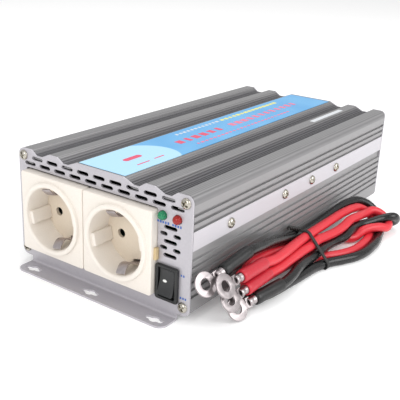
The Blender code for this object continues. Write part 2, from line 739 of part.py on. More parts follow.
# ------------------------------------------------------------------- sockets
def make_socket(side):
    """An earthed round socket: housing with rim and cup, floor and earth strap."""
    sign = 1 if side == "right" else -1
    x = SOCKET_PAIR_X + sign * SOCKET_PITCH / 2
    name = "socket_" + side
    cup_out = WELL_RADIUS + CUP_WALL
    rim_out = SOCKET_PROUD + RIM_PROUD
    floor_front = rim_out - WELL_DEPTH
    ledge_front = floor_front - FLOOR_THICKNESS - GAP
    cup_back = ledge_front - LEDGE_THICKNESS

    square = rounded((0, 0), SOCKET_SIZE, SOCKET_SIZE, SOCKET_CORNER)
    opening = circle((0, 0), WELL_RADIUS + CUP_WALL / 2, ROUND)
    thick = SOCKET_PROUD + SOCKET_BACK
    middle = (SOCKET_PROUD - SOCKET_BACK) / 2
    housing = plate(name + "_housing", "ivory_plastic", [square, opening], thick,
                    on_front(x, SOCKET_Z, middle), FACE_FRONT)
    inner = SOCKET_SIZE - 2 * HOUSING_WALL
    hollow = [rounded((0, 0), inner, inner, SOCKET_CORNER), circle((0, 0), cup_out - 0.0004, ROUND)]
    front_wall = SOCKET_PROUD - HOUSING_WALL
    combine(housing, plate(name + "_hollow", None, hollow, 0.02,
                           on_front(x, SOCKET_Z, front_wall - 0.01), FACE_FRONT))
    ease = 0.0005
    cup = [
        (RIM_RADIUS - ease, rim_out), (RIM_RADIUS, rim_out - ease),
        (RIM_RADIUS, SOCKET_PROUD - HOUSING_WALL / 2), (cup_out, SOCKET_PROUD - HOUSING_WALL / 2),
        (cup_out, cup_back), (WELL_RADIUS - LEDGE, cup_back), (WELL_RADIUS - LEDGE, ledge_front),
        (WELL_RADIUS, ledge_front), (WELL_RADIUS, rim_out - MOUTH_BEVEL),
        (WELL_RADIUS + MOUTH_BEVEL, rim_out),
    ]
    combine(housing, turned(name + "_cup", None, cup, on_front(x, SOCKET_Z), FACE_FRONT,
                            sides=ROUND, closed=True), "UNION")

    half = SOCKET_SIZE / 2
    lip_out = -SHEET - GAP - LIP_THICKNESS / 2
    root = HOUSING_WALL - 0.0005
    for number, up in enumerate((-1, 1)):
        z = SOCKET_Z + up * (half + (LIP_HEIGHT - root) / 2)
        combine(housing, block("%s_lip_%d" % (name, number), None,
                               (LIP_WIDTH, LIP_THICKNESS, LIP_HEIGHT + root),
                               on_front(x, z, lip_out)), "UNION")
        z = SOCKET_Z + up * (half - HOUSING_WALL / 2)
        combine(housing, block("%s_lip_root_%d" % (name, number), None,
                               (LIP_WIDTH - 0.001, LIP_THICKNESS + 0.002, HOUSING_WALL / 2),
                               on_front(x, z, lip_out + 0.0012)), "UNION")
    tab_x = x + sign * (SOCKET_SIZE / 2 + TAB_WIDTH / 2 - 0.0003)
    combine(housing, block(name + "_tab", None, (TAB_WIDTH + 0.0006, TAB_THICKNESS, TAB_HEIGHT),
                           on_front(tab_x, SOCKET_Z, GAP + TAB_THICKNESS / 2)), "UNION")
    low, high = floor_front + GAP, GUIDE_FRONT
    for number, angle in enumerate((SOCKET_TURN, SOCKET_TURN + math.pi)):
        radius = WELL_RADIUS - GUIDE_HEIGHT / 2 + 0.0005
        place_x = x + radius * math.cos(angle)
        place_z = SOCKET_Z + radius * math.sin(angle)
        away = (math.cos(angle), 0, math.sin(angle))
        combine(housing, block("%s_guide_%d" % (name, number), None,
                               (GUIDE_HEIGHT + 0.001, high - low, GUIDE_WIDTH),
                               on_front(place_x, place_z, (low + high) / 2),
                               turn=frame(away, (0, 1, 0))), "UNION")

    make_floor(name, x, floor_front)
    make_earth_strap(name, x, floor_front)


def make_floor(name, x, front):
    """The floor of a well, with pin holes and a notch for each leg of the strap."""
    radius = WELL_RADIUS - GAP
    notch = EARTH_SLOT / 2
    depth = WELL_RADIUS - EARTH_SLOT_DEPTH
    cut = math.degrees(math.asin(notch / radius))
    outline = arc((0, 0), radius, cut - 90, 90 - cut, 14)
    outline += [(notch, depth), (-notch, depth)]
    outline += arc((0, 0), radius, 90 + cut, 270 - cut, 14)
    outline += [(-notch, -depth), (notch, -depth)]
    pins = [circle((sign * PIN_SPREAD, 0), PIN_RADIUS) for sign in (-1, 1)]
    across = (math.cos(SOCKET_TURN), 0, math.sin(SOCKET_TURN))
    up = (-math.sin(SOCKET_TURN), 0, math.cos(SOCKET_TURN))
    plate(name + "_insert", "ivory_plastic", [outline] + pins, FLOOR_THICKNESS,
          on_front(x, SOCKET_Z, front - FLOOR_THICKNESS / 2), frame(across, up))


def make_earth_strap(name, x, front):
    """One strip: a sprung leaf at each side of the well, joined behind the floor."""
    wall = WELL_RADIUS
    leg = wall - 0.0031
    behind = front - FLOOR_THICKNESS - 0.0011
    upper = [
        (wall - 0.0010, SOCKET_PROUD), (wall - 0.0026, SOCKET_PROUD - 0.0008),
        (wall - 0.0052, SOCKET_PROUD - 0.0034), (wall - 0.0056, SOCKET_PROUD - 0.0060),
        (wall - 0.0040, SOCKET_PROUD - 0.0094), (leg, SOCKET_PROUD - 0.0118),
        (leg, behind + 0.0006), (leg - 0.0006, behind),
    ]
    lower = [(-v, out) for v, out in reversed(upper)]
    up = (-math.sin(SOCKET_TURN), 0, math.cos(SOCKET_TURN))
    plate(name + "_earth_strap", "tinned_copper", [strip(upper + lower, EARTH_METAL)],
          EARTH_WIDTH, on_front(x, SOCKET_Z), frame(up, (0, -1, 0)))


# ------------------------------------------------------------ switch and lamps
def make_switch():
    """Bezel and body in one, and the rocker that tips in its pocket."""
    bezel = rounded((0, 0), SWITCH_WIDTH, SWITCH_HEIGHT, 0.0012)
    body = plate("switch_body", "black_plastic", [bezel], SWITCH_PROUD - SEAT,
                 on_front(SWITCH_X, SWITCH_Z, (SWITCH_PROUD + SEAT) / 2), FACE_FRONT)
    back = rounded((0, 0), SWITCH_BODY_WIDTH, SWITCH_BODY_HEIGHT, 0.0008)
    front = SWITCH_PROUD / 2
    combine(body, plate("switch_back", None, [back], SWITCH_BODY_DEPTH + front,
                        on_front(SWITCH_X, SWITCH_Z, (front - SWITCH_BODY_DEPTH) / 2),
                        FACE_FRONT), "UNION")
    wide = ROCKER_WIDTH + 2 * ROCKER_SLACK
    high = 2 * (ROCKER_HALF + 0.0011)
    pocket = rounded((0, 0), wide, high, 0.0004)
    combine(body, plate("switch_pocket", None, [pocket], 0.02,
                        on_front(SWITCH_X, SWITCH_Z, 0.01 - SWITCH_POCKET), FACE_FRONT))

    face = SWITCH_PROUD + ROCKER_PIVOT
    half = ROCKER_HALF
    section = [
        (face + 0.0006, half), (face - 0.0006, 0.0), (face + 0.0006, -half), (0.001, -half),
        (-0.003, -half * 0.42), (-0.003, half * 0.42), (0.001, half),
    ]
    lean = -ROCKER_SWING / 2
    outline = []
    for out, up in section:
        y, z = -out, up
        outline.append((y * math.cos(lean) - z * math.sin(lean),
                        y * math.sin(lean) + z * math.cos(lean)))
    plate("switch_rocker", "black_plastic", [outline], ROCKER_WIDTH,
          on_front(SWITCH_X, SWITCH_Z, -ROCKER_PIVOT), ACROSS)


def make_lamps():
    flange = LED_RADIUS + 0.0004 + GAP
    seat = -SHEET - GAP
    for name, material, (x, below) in (
        ("led_power", "green_lens", LED_POWER), ("led_fault", "red_lens", LED_FAULT)
    ):
        dome = arc((0, 0.0008), LED_RADIUS, 90, 0, 5)
        profile = [(0.0, dome[0][1])] + dome[1:] + [
            (LED_RADIUS, seat), (flange, seat), (flange, seat - 0.001),
            (LED_RADIUS * 0.9, seat - 0.001), (LED_RADIUS * 0.9, -0.005), (0.0, -0.005),
        ]
        turned(name, material, profile, on_front(x, CASE_HEIGHT - below), FACE_FRONT, sides=12)


# ----------------------------------------------------------------------- fan
def make_fan():
    """Frame with motor mount, bladed rotor and stamped guard."""
    outer = rounded((0, 0), FAN_SIZE, FAN_SIZE, 0.003)
    corners = [(i * FAN_CORNER, j * FAN_CORNER) for i in (-1, 1) for j in (-1, 1)]
    holes = [circle(place, SCREW_HOLE) for place in corners]
    back = REAR_Y - SHEET - GAP
    frame_y = back - FAN_DEPTH / 2
    body = plate("fan_frame", "black_plastic",
                 [outer, circle((0, 0), FAN_DUCT, ROUND)] + holes, FAN_DEPTH,
                 (FAN_X, frame_y, FAN_Z), FACE_REAR)
    mount = 0.0022
    mount_y = back - FAN_DEPTH + mount / 2
    combine(body, rod("fan_mount", None, FAN_HUB, mount, (FAN_X, mount_y, FAN_Z), FACE_REAR,
                      ROUND // 2), "UNION")
    reach = 2 * FAN_DUCT + FAN_WALL
    for number, size in enumerate(((reach, mount * 0.8, 0.003), (0.003, mount * 0.7, reach))):
        combine(body, block("fan_strut_%d" % number, None, size, (FAN_X, mount_y, FAN_Z)),
                "UNION")

    depth = FAN_DEPTH - mount - 2 * FAN_RUNNING_GAP
    rotor_y = back - FAN_RUNNING_GAP - depth / 2
    half = depth / 2
    hub = [
        (0.0, half), (FAN_HUB - 0.001, half), (FAN_HUB, half - 0.001), (FAN_HUB, -half),
        (0.0, -half),
    ]
    rotor = turned("fan_rotor", "black_plastic", hub, (FAN_X, rotor_y, FAN_Z), FACE_REAR,
                   sides=ROUND // 2)
    combine(rotor, fan_blades(rotor_y), "UNION")

    spoke = 0.0024
    first = FAN_HUB * 0.55
    pitch = (FAN_DUCT - 0.0006 - first) / GUARD_RINGS
    slots = [circle(place, SCREW_HOLE) for place in corners]
    for ring in range(GUARD_RINGS):
        inner = first + ring * pitch
        outside = inner + pitch - GUARD_WIRE
        for quarter in range(4):
            turn = 90 * quarter
            far = math.degrees(math.asin(spoke / 2 / outside))
            near = math.degrees(math.asin(spoke / 2 / inner))
            slots.append(arc((0, 0), outside, turn + far, turn + 90 - far, 5)
                         + arc((0, 0), inner, turn + 90 - near, turn + near, 5))
    plate("fan_guard", "black_plastic", [outer] + slots, GUARD_WIRE,
          (FAN_X, REAR_Y + SEAT + GUARD_WIRE / 2, FAN_Z), FACE_REAR)


def fan_blades(rotor_y):
    """All blades of the rotor as one cutter."""
    inner, outer = FAN_HUB - 0.0012, FAN_DUCT - FAN_RUNNING_GAP
    bm = bmesh.new()
    for blade in range(FAN_BLADES):
        made = bmesh.ops.create_cube(bm, size=1)["verts"]
        bmesh.ops.scale(bm, vec=(outer - inner, 0.0095, 0.0012), verts=made)
        bmesh.ops.rotate(bm, matrix=Matrix.Rotation(math.radians(42), 3, "X"), verts=made)
        bmesh.ops.translate(bm, vec=((inner + outer) / 2, 0, 0), verts=made)
        turn = Matrix.Rotation(2 * math.pi * blade / FAN_BLADES, 3, "Z")
        bmesh.ops.rotate(bm, cent=(0, 0, 0), matrix=turn, verts=made)
    return place(mesh_from(bm, "fan_blades"), "fan_blades", None, (FAN_X, rotor_y, FAN_Z),
                 FACE_REAR)


# ----------------------------------------------------------------- terminals
def make_terminal(colour, x):
    """Insulating base, threaded stud with a shoulder behind, and a fluted knob."""
    name = "terminal_" + colour
    material = "red_plastic" if colour == "red" else "black_plastic"
    bore = STUD_RADIUS + GAP
    behind = SHEET + 0.0028
    base = [
        (bore, TERMINAL_BASE), (TERMINAL_BASE_RADIUS - 0.0006, TERMINAL_BASE),
        (TERMINAL_BASE_RADIUS, TERMINAL_BASE - 0.0006), (TERMINAL_BASE_RADIUS, SEAT),
        (TERMINAL_NECK, SEAT), (TERMINAL_NECK, -behind), (bore, -behind),
    ]
    centre = on_rear(x, TERMINAL_Z)
    turned(name + "_base", material, base, centre, FACE_REAR, sides=24, closed=True)
    tip = TERMINAL_REACH - 0.001
    shoulder = -behind - GAP
    stud = [
        (0.0, tip), (STUD_RADIUS - 0.0005, tip), (STUD_RADIUS, tip - 0.0005),
        (STUD_RADIUS, shoulder), (STUD_RADIUS + 0.0025, shoulder),
        (STUD_RADIUS + 0.0025, shoulder - 0.004), (STUD_RADIUS, shoulder - 0.004),
        (STUD_RADIUS, -STUD_INSIDE), (0.0, -STUD_INSIDE),
    ]
    turned(name + "_stud", "brass", stud, centre, FACE_REAR)
    flutes = []
    for step in range(54):
        angle = 2 * math.pi * step / 54
        radius = KNOB_RADIUS - 0.00035 * (1 + math.cos(18 * angle))
        flutes.append((radius * math.cos(angle), radius * math.sin(angle)))
    start = TERMINAL_BASE + TERMINAL_LUG_SPACE
    plate(name + "_knob", material, [flutes, circle((0, 0), bore)], TERMINAL_REACH - start,
          on_rear(x, TERMINAL_Z, (TERMINAL_REACH + start) / 2), FACE_REAR)


# ---------------------------------------------------------------- electronics
def make_electronics():
    first = FRONT_Y + BOARD_FRONT
    last = REAR_Y - SHEET - FAN_DEPTH - 0.006
    top = STAND_OFF + BOARD_Z + BOARD_THICKNESS
    block("circuit_board", "board", (2 * (INNER_HALF - GAP), last - first, BOARD_THICKNESS),
          (0, (first + last) / 2, top - BOARD_THICKNESS / 2))
    for number, behind in enumerate(TRANSFORMER_Y, 1):
        centre = (TRANSFORMER_X, FRONT_Y + behind, top + GAP + TRANSFORMER[2] / 2)
        name = "transformer_%d" % number
        core = block(name, "ferrite", TRANSFORMER, centre, bevel=0.001)
        combine(core, block(name + "_winding", None, WINDING, centre, bevel=0.004), "UNION")
    high, radius = CAPACITOR_HEIGHT, CAPACITOR_RADIUS
    can = [
        (0.0, high), (radius - 0.001, high), (radius, high - 0.001), (radius, 0.0015),
        (radius - 0.001, 0.0), (0.0, 0.0),
    ]
    x, behind = CAPACITOR_PLACE
    turned("capacitor", "capacitor_film", can, (x, FRONT_Y + behind, top + GAP), sides=ROUND // 2)


# --------------------------------------------------------------------- leads
def lead_frame(way):
    """The turn of a ring terminal: local X runs to the sleeve, local Z is its face."""
    along = Vector(way).normalized()
    face = Vector((math.sin(LUG_ROLL), 0, math.cos(LUG_ROLL)))
    face = (face - face.dot(along) * along).normalized()
    return frame(along, face.cross(along))


def make_ring_terminal(name, centre, way):
    """Flat ring, neck and barrel."""
    turn = lead_frame(way)
    neck = math.degrees(math.asin(LUG_BARREL_RADIUS / LUG_RADIUS))
    outline = arc((0, 0), LUG_RADIUS, neck, 360 - neck, 22)
    end = LUG_BARREL_START + 0.002
    outline += [(end, -LUG_BARREL_RADIUS * 0.9), (end, LUG_BARREL_RADIUS * 0.9)]
    ring = plate(name, "tinned_copper", [outline, circle((0, 0), LUG_HOLE)], LUG_METAL,
                 centre, turn)
    length = LUG_BARREL_END - LUG_BARREL_START
    axis = turn.to_matrix() @ Vector((1, 0, 0))
    middle = Vector(centre) + axis * (LUG_BARREL_START + length / 2)
    upright = frame(turn.to_matrix() @ Vector((0, 1, 0)), turn.to_matrix() @ Vector((0, 0, 1)))
    barrel = rod(name + "_barrel", None, LUG_BARREL_RADIUS, length, middle, upright)
    combine(ring, barrel, "UNION")


def make_leads():
    """Ring terminals and sleeves, the folded hank of cable and its tie."""
    stubs = []
    for name, (out, behind, z), way in LEADS:
        centre = Vector((HALF_WIDTH + out, FRONT_Y + behind, z))
        make_ring_terminal("ring_terminal_" + name, centre, way)
        turn = lead_frame(way)
        axis = Vector(way).normalized()
        upright = frame(turn.to_matrix() @ Vector((0, 1, 0)), turn.to_matrix() @ Vector((0, 0, 1)))
        sleeve_end = LUG_TO_SLEEVE + SLEEVE_LENGTH
        half = SLEEVE_LENGTH / 2
        bore = LUG_BARREL_RADIUS + GAP
        tube = [
            (bore, half), (SLEEVE_RADIUS - 0.0003, half), (SLEEVE_RADIUS, half - 0.0003),
            (SLEEVE_RADIUS, -half), (bore, -half),
        ]
        material = "red_pvc" if name.startswith("red") else "black_pvc"
        turned("sleeve_" + name, material, tube, centre + axis * (sleeve_end - half), upright,
               closed=True)
        start = centre + axis * (sleeve_end + GAP)
        reach = (FRONT_Y + HANK_FRONT + 0.006 - start.y) / axis.y
        stubs.append(rod("hank_stub_" + name, None, CABLE_RADIUS, reach,
                         start + axis * reach / 2, upright, 12))

    corners = (
        (HANK_INSIDE + 0.001, HANK_FRONT), (0.021, HANK_FRONT), (HANK_WAIST, TIE_Y - 0.006),
        (HANK_WAIST, TIE_Y + 0.006), (0.0315, 0.140), (0.0375, 0.160), (HANK_OUTSIDE, 0.180),
        (0.0380, 0.200), (0.0340, 0.213), (0.0250, HANK_REAR), (0.0090, HANK_REAR),
        (HANK_INSIDE, 0.214), (HANK_INSIDE, HANK_FRONT + 0.001),
    )
    outline = [(HALF_WIDTH + out, FRONT_Y + behind) for out, behind in corners]
    hank = plate("lead_hank", "black_pvc", [outline], HANK_TOP - HANK_FLOOR,
                 (0, 0, (HANK_TOP + HANK_FLOOR) / 2))
    fold_low = HANK_TOP - 0.004
    corners = (
        (HANK_INSIDE, FOLD_FRONT), (FOLD_OUTSIDE, FOLD_FRONT), (FOLD_OUTSIDE, HANK_FRONT),
        (FOLD_SHOULDER, HANK_FRONT), (FOLD_SHOULDER, FOLD_REAR), (HANK_INSIDE, FOLD_REAR),
    )
    outline = [(HALF_WIDTH + out, FRONT_Y + behind) for out, behind in corners]
    fold = plate("hank_fold", None, [outline], FOLD_TOP - fold_low,
                 (0, 0, (FOLD_TOP + fold_low) / 2))
    combine(hank, fold, "UNION")
    corners = (
        (HANK_INSIDE + 0.001, LOOP_FRONT), (0.0150, LOOP_FRONT), (0.0195, 0.040),
        (0.0205, HANK_FRONT + 0.002), (HANK_INSIDE + 0.001, HANK_FRONT + 0.002),
    )
    outline = [(HALF_WIDTH + out, FRONT_Y + behind) for out, behind in corners]
    combine(hank, plate("hank_loop", None, [outline], LOOP_TOP - HANK_FLOOR,
                        (0, 0, (LOOP_TOP + HANK_FLOOR) / 2)), "UNION")
    for stub in stubs:
        combine(hank, stub, "UNION")

    wide = HANK_WAIST - HANK_INSIDE + 2 * GAP
    high = HANK_TOP - HANK_FLOOR + 2 * GAP
    middle = (HALF_WIDTH + (HANK_WAIST + HANK_INSIDE) / 2, FRONT_Y + TIE_Y,
              (HANK_TOP + HANK_FLOOR) / 2)
    band = 2 * TIE_THICKNESS
    plate("hank_tie", "black_pvc",
          [rounded((0, 0), wide + band, high + band, 0.001), rounded((0, 0), wide, high, 0.0003)],
          TIE_WIDTH, middle, FACE_FRONT)


# --------------------------------------------------------------------- build
make_case()
make_panel("front_panel", FRONT_Y, -1, front_openings())
make_panel("rear_panel", REAR_Y, 1, rear_openings())
make_socket("left")
make_socket("right")
make_switch()
make_lamps()
make_fan()
make_terminal("red", TERMINAL_X[0])
make_terminal("black", TERMINAL_X[1])
make_electronics()
make_screws()
make_leads()
bpy.context.view_layer.update()
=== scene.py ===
# %% [markdown]
# A power inverter in a ribbed aluminium case. The bodies come from the packed
# CAD model, which is the fixed frame. This file gives them their finishes and
# replaces the pieces whose real shape is rounder or finer than the CAD one.

# %% Load the frame
import json
import math

import bmesh
import bpy
from mathutils import Matrix, Vector

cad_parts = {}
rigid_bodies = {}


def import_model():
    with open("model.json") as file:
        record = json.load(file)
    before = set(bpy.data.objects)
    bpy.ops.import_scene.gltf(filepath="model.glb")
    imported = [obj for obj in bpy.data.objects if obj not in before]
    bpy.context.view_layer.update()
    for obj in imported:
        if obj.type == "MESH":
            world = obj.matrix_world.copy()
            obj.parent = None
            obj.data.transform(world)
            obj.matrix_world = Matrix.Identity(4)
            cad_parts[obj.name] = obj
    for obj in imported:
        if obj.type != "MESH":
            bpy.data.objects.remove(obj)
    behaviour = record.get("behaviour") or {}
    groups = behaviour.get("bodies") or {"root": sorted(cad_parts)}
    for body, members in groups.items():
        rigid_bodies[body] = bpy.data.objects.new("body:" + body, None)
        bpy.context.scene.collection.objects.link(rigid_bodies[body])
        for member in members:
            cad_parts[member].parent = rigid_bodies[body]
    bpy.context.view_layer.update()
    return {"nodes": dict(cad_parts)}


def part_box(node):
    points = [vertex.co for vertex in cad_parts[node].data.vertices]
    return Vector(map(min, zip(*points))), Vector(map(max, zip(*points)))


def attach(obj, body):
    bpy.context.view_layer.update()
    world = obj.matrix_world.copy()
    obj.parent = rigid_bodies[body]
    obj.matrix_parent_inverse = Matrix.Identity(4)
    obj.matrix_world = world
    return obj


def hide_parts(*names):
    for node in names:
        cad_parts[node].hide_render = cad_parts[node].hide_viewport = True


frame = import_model()
nodes = frame["nodes"]

# %% [markdown]
# The camera stands to the right of the sockets, a little above the case, and
# looks along it with a longish lens. A camera could be aimed with a Track To
# constraint. A matrix built from its three axes is used, because the view is
# also rolled by two and a half degrees.

# %% Camera
AZIMUTH, ELEVATION, ROLL = (math.radians(a) for a in (34.72, 20.92, 2.58))
back = Vector((math.sin(AZIMUTH) * math.cos(ELEVATION),
               -math.cos(AZIMUTH) * math.cos(ELEVATION), math.sin(ELEVATION)))
right = (-back).cross(Vector((0, 0, 1))).normalized()
up = back.cross(right)
side = math.cos(ROLL) * right + math.sin(ROLL) * up
top = math.cos(ROLL) * up - math.sin(ROLL) * right
lens = bpy.data.cameras.new("camera")
lens.lens, lens.sensor_width, lens.clip_start = 64.8, 36.0, 0.01
camera = bpy.data.objects.new("camera", lens)
turned = Matrix((side, top, back)).transposed().to_4x4()
camera.matrix_world = Matrix.Translation((0.2610, -0.40775, 0.2028)) @ turned
bpy.context.scene.collection.objects.link(camera)
bpy.context.scene.camera = camera
print("camera looks along", tuple(round(-v, 3) for v in back))

# %% [markdown]
# A piece shot in a light tent has soft light from all round and no hard shadow.
# The world gives the even part. Two big area lamps give the case its shading:
# one over the right side, which is the brightest, and one in front.

# %% Light and floor
scene = bpy.context.scene
scene.view_settings.view_transform = "Standard"
world = bpy.data.worlds.new("tent")
world.use_nodes = True
world.node_tree.nodes["Background"].inputs["Color"].default_value = (1, 1, 1, 1)
world.node_tree.nodes["Background"].inputs["Strength"].default_value = 0.72
scene.world = world


def soft_lamp(name, place, target, size, power):
    """A square area lamp that faces a point."""
    lamp = bpy.data.lights.new(name, "AREA")
    lamp.size, lamp.energy = size, power
    thing = bpy.data.objects.new(name, lamp)
    way = (Vector(place) - Vector(target)).normalized()
    thing.matrix_world = Matrix.Translation(place) @ way.to_track_quat("Z", "Y").to_matrix().to_4x4()
    scene.collection.objects.link(thing)
    return thing


soft_lamp("right_lamp", (1.1, 0.15, 0.75), (0, 0, 0.03), 0.9, 9.0)
soft_lamp("front_lamp", (0.35, -1.3, 0.75), (0, 0, 0.03), 0.8, 6.5)
soft_lamp("top_lamp", (-0.3, 0.5, 1.4), (0, 0, 0), 1.0, 5.0)
floor_mesh = bpy.data.meshes.new("floor")
floor_mesh.from_pydata([(-4, -4, 0), (4, -4, 0), (4, 4, 0), (-4, 4, 0)], [], [(0, 1, 2, 3)])
floor = bpy.data.objects.new("floor", floor_mesh)
scene.collection.objects.link(floor)

# %% [markdown]
# Materials are node trees. Colours are written as sRGB hex values, the way a
# colour picker shows them, and one function turns them to the linear values
# that the shader works in. Another adds one node with its settings and links,
# so that a whole finish reads as a short list.

# %% Material helpers
def linear(code):
    """An sRGB hex colour as linear RGBA."""
    parts = [int(code[i:i + 2], 16) / 255 for i in (1, 3, 5)]
    return tuple(c / 12.92 if c <= 0.04045 else ((c + 0.055) / 1.055) ** 2.4
                 for c in parts) + (1.0,)


def add(tree, kind, inputs=None, **settings):
    """Adds one node; inputs are values, or outputs that are linked."""
    node = tree.nodes.new(kind)
    for name, value in settings.items():
        setattr(node, name, value)
    for name, value in (inputs or {}).items():
        if isinstance(value, bpy.types.NodeSocket):
            tree.links.new(value, node.inputs[name])
        else:
            node.inputs[name].default_value = value
    return node


def finish_for(name, colour, roughness, **more):
    """A material with one Principled shader; gives the material, tree and shader."""
    material = bpy.data.materials.new(name)
    material.use_nodes = True
    tree = material.node_tree
    shader = tree.nodes["Principled BSDF"]
    shader.inputs["Base Color"].default_value = linear(colour)
    shader.inputs["Roughness"].default_value = roughness
    for socket, value in more.items():
        shader.inputs[socket.replace("_", " ")].default_value = value
    material.diffuse_color = linear(colour)
    return material, tree, shader


def grain(tree, shader, scale, depth, colours=None, stretch=(1, 1, 1), rough=None):
    """Fine relief, shade and gloss from one noise in object space."""
    place = add(tree, "ShaderNodeTexCoord").outputs["Object"]
    place = add(tree, "ShaderNodeMapping", {"Vector": place, "Scale": stretch}).outputs["Vector"]
    noise = add(tree, "ShaderNodeTexNoise", {"Vector": place, "Scale": scale, "Detail": 4.0})
    bump = add(tree, "ShaderNodeBump", {"Height": noise.outputs["Fac"], "Strength": 0.5,
                                        "Distance": depth})
    tree.links.new(bump.outputs["Normal"], shader.inputs["Normal"])
    if colours:
        mix = add(tree, "ShaderNodeMix", {0: noise.outputs["Fac"], 6: linear(colours[0]),
                                          7: linear(colours[1])}, data_type="RGBA")
        tree.links.new(mix.outputs[2], shader.inputs["Base Color"])
    if rough:
        spread = add(tree, "ShaderNodeMapRange", {"Value": noise.outputs["Fac"], "From Min": 0.3,
                                                  "From Max": 0.7, "To Min": rough[0],
                                                  "To Max": rough[1]})
        tree.links.new(spread.outputs["Result"], shader.inputs["Roughness"])
    return noise


def white_floor():
    """Matt white paper."""
    material, tree, shader = finish_for("white_paper", "#ffffff", 0.9, Emission_Color=(1, 1, 1, 1),
                                         Emission_Strength=0.12)
    grain(tree, shader, 220.0, 0.0001, ("#fcfcfc", "#ffffff"))
    return material


floor_mesh.materials.append(white_floor())
print("floor finish:", floor_mesh.materials[0].name)

# %% [markdown]
# The case is an aluminium profile, pressed through a die and then matt
# anodised. The die leaves faint lines along its length, about 0.4 mm apart.
# The anodic layer makes it a dull metal, so it is metallic with a high
# roughness. The flat band for the side screws has been ground, so it is
# brighter. On the top, dark stripes 1.6 mm apart are painted shade in the
# grooves of its fine ribs, and the two valleys are darkened with painted
# shade. The band and the shaded valleys are found from the height and the
# width, which are the same all along a profile.

# %% Anodised aluminium
def masks(tree, axis, limits, soft=0.0002):
    """1 between two values of one object coordinate, 0 outside."""
    place = add(tree, "ShaderNodeSeparateXYZ",
                {"Vector": add(tree, "ShaderNodeTexCoord").outputs["Object"]})
    value = add(tree, "ShaderNodeMath", {0: place.outputs[axis]}, operation="ABSOLUTE")
    steps = []
    for limit, ends in ((limits[0], (0.0, 1.0)), (limits[1], (1.0, 0.0))):
        steps.append(add(tree, "ShaderNodeMapRange", {
            "Value": value.outputs[0], "From Min": limit - soft, "From Max": limit + soft,
            "To Min": ends[0], "To Max": ends[1]}).outputs["Result"])
    return add(tree, "ShaderNodeMath", {0: steps[0], 1: steps[1]}, operation="MULTIPLY").outputs[0]


RIB_SCALE = 2 * math.pi / 20 / 0.0016     # spacing of the dark stripes on the top, 1.6 mm apart: painted shade in the grooves of the fine ribs


def anodised_aluminium():
    material, tree, shader = finish_for("anodised_aluminium", "#949394", 0.44, Metallic=0.6)
    noise = grain(tree, shader, 60.0, 0.00004, stretch=(40, 0.6, 40), rough=(0.36, 0.5))
    body = add(tree, "ShaderNodeMix", {0: noise.outputs["Fac"], 6: linear("#8b8a8b"),
                                       7: linear("#a3a2a3")}, data_type="RGBA").outputs[2]
    band = masks(tree, "Z", (0.04325, 0.05425))
    sides = masks(tree, "X", (0.0640, 0.2))
    band = add(tree, "ShaderNodeMath", {0: band, 1: sides}, operation="MULTIPLY").outputs[0]
    body = add(tree, "ShaderNodeMix", {0: band, 6: body, 7: linear("#c9c6cb")},
               data_type="RGBA").outputs[2]
    place = add(tree, "ShaderNodeTexCoord").outputs["Object"]
    # Dark stripes on the top along the fine ribs: painted shade in their grooves.
    rib_shade_stripes = add(tree, "ShaderNodeTexWave", {"Vector": place, "Scale": RIB_SCALE, "Distortion": 0.0},
               wave_type="BANDS", bands_direction="X", wave_profile="SIN")
    upper = masks(tree, "Z", (0.0690, 0.2))
    rib_groove_shade = add(tree, "ShaderNodeMath", {0: rib_shade_stripes.outputs["Fac"], 1: upper}, operation="MULTIPLY")
    rib_groove_shade = add(tree, "ShaderNodeMath", {0: rib_groove_shade.outputs[0], 1: 0.5}, operation="MULTIPLY").outputs[0]
    body = add(tree, "ShaderNodeMix", {0: rib_groove_shade, 6: body, 7: linear("#656466")},
               data_type="RGBA").outputs[2]
    # The two valleys of the top are darkened: painted shade where the lands shade their floors.
    for low, high in ((0.0212, 0.0309), (0.0420, 0.0525)):
        valley_shade_mask = masks(tree, "X", (low, high), 0.0015)
        upper = masks(tree, "Z", (0.0700, 0.0735), 0.0005)
        dark = add(tree, "ShaderNodeMath", {0: valley_shade_mask, 1: upper}, operation="MULTIPLY").outputs[0]
        body = add(tree, "ShaderNodeMix", {0: dark, 6: body, 7: linear("#68676a")},
                   data_type="RGBA").outputs[2]
    tree.links.new(body, shader.inputs["Base Color"])
    return material


aluminium = anodised_aluminium()
print("case finish:", aluminium.name)

# %% [markdown]
# The end panels are bent sheet steel with a fine satin paint. Plastic parts are
# moulded: the sockets in a warm ivory, the switch in black ABS with a fine
# spark-eroded texture. Each finish below says what its surface gives the eye.

# %% The other finishes
def satin_steel():
    """Painted sheet, with the slight orange peel of a sprayed coat 1 mm wide."""
    material, tree, shader = finish_for("satin_painted_steel", "#b9b6bb", 0.4, Metallic=0.35)
    grain(tree, shader, 900.0, 0.00003, ("#b2afb5", "#c2bfc4"), rough=(0.34, 0.46))
    return material


def moulded(name, dark, light, roughness, scale=1500.0, depth=0.00002, **more):
    """Moulded plastic: its grain is the mould's, 0.5 to 1 mm, with a soft gloss."""
    material, tree, shader = finish_for(name, light, roughness, **more)
    grain(tree, shader, scale, depth, (dark, light), rough=(roughness - 0.05, roughness + 0.06))
    return material


def plated(name, dark, light, roughness, scale=700.0, stretch=(1, 1, 1)):
    """Bright plated metal with faint drawing marks 1.5 mm long."""
    material, tree, shader = finish_for(name, light, roughness, Metallic=1.0)
    grain(tree, shader, scale, 0.00002, (dark, light), stretch, (roughness - 0.06, roughness + 0.08))
    return material


def lens_plastic(name, dark, light):
    """Clear coloured acrylic over a lamp: deep colour, sharp highlight."""
    material, tree, shader = finish_for(name, light, 0.12, Transmission_Weight=0.35, IOR=1.49)
    grain(tree, shader, 400.0, 0.00001, (dark, light))
    return material


def heat_shrink(name, dark, light):
    """Shrunk polyolefin: matt, with soft wrinkles 2 mm long across the tube."""
    material, tree, shader = finish_for(name, light, 0.38)
    grain(tree, shader, 320.0, 0.00035, (dark, light), (1, 2.5, 1), (0.3, 0.45))
    return material


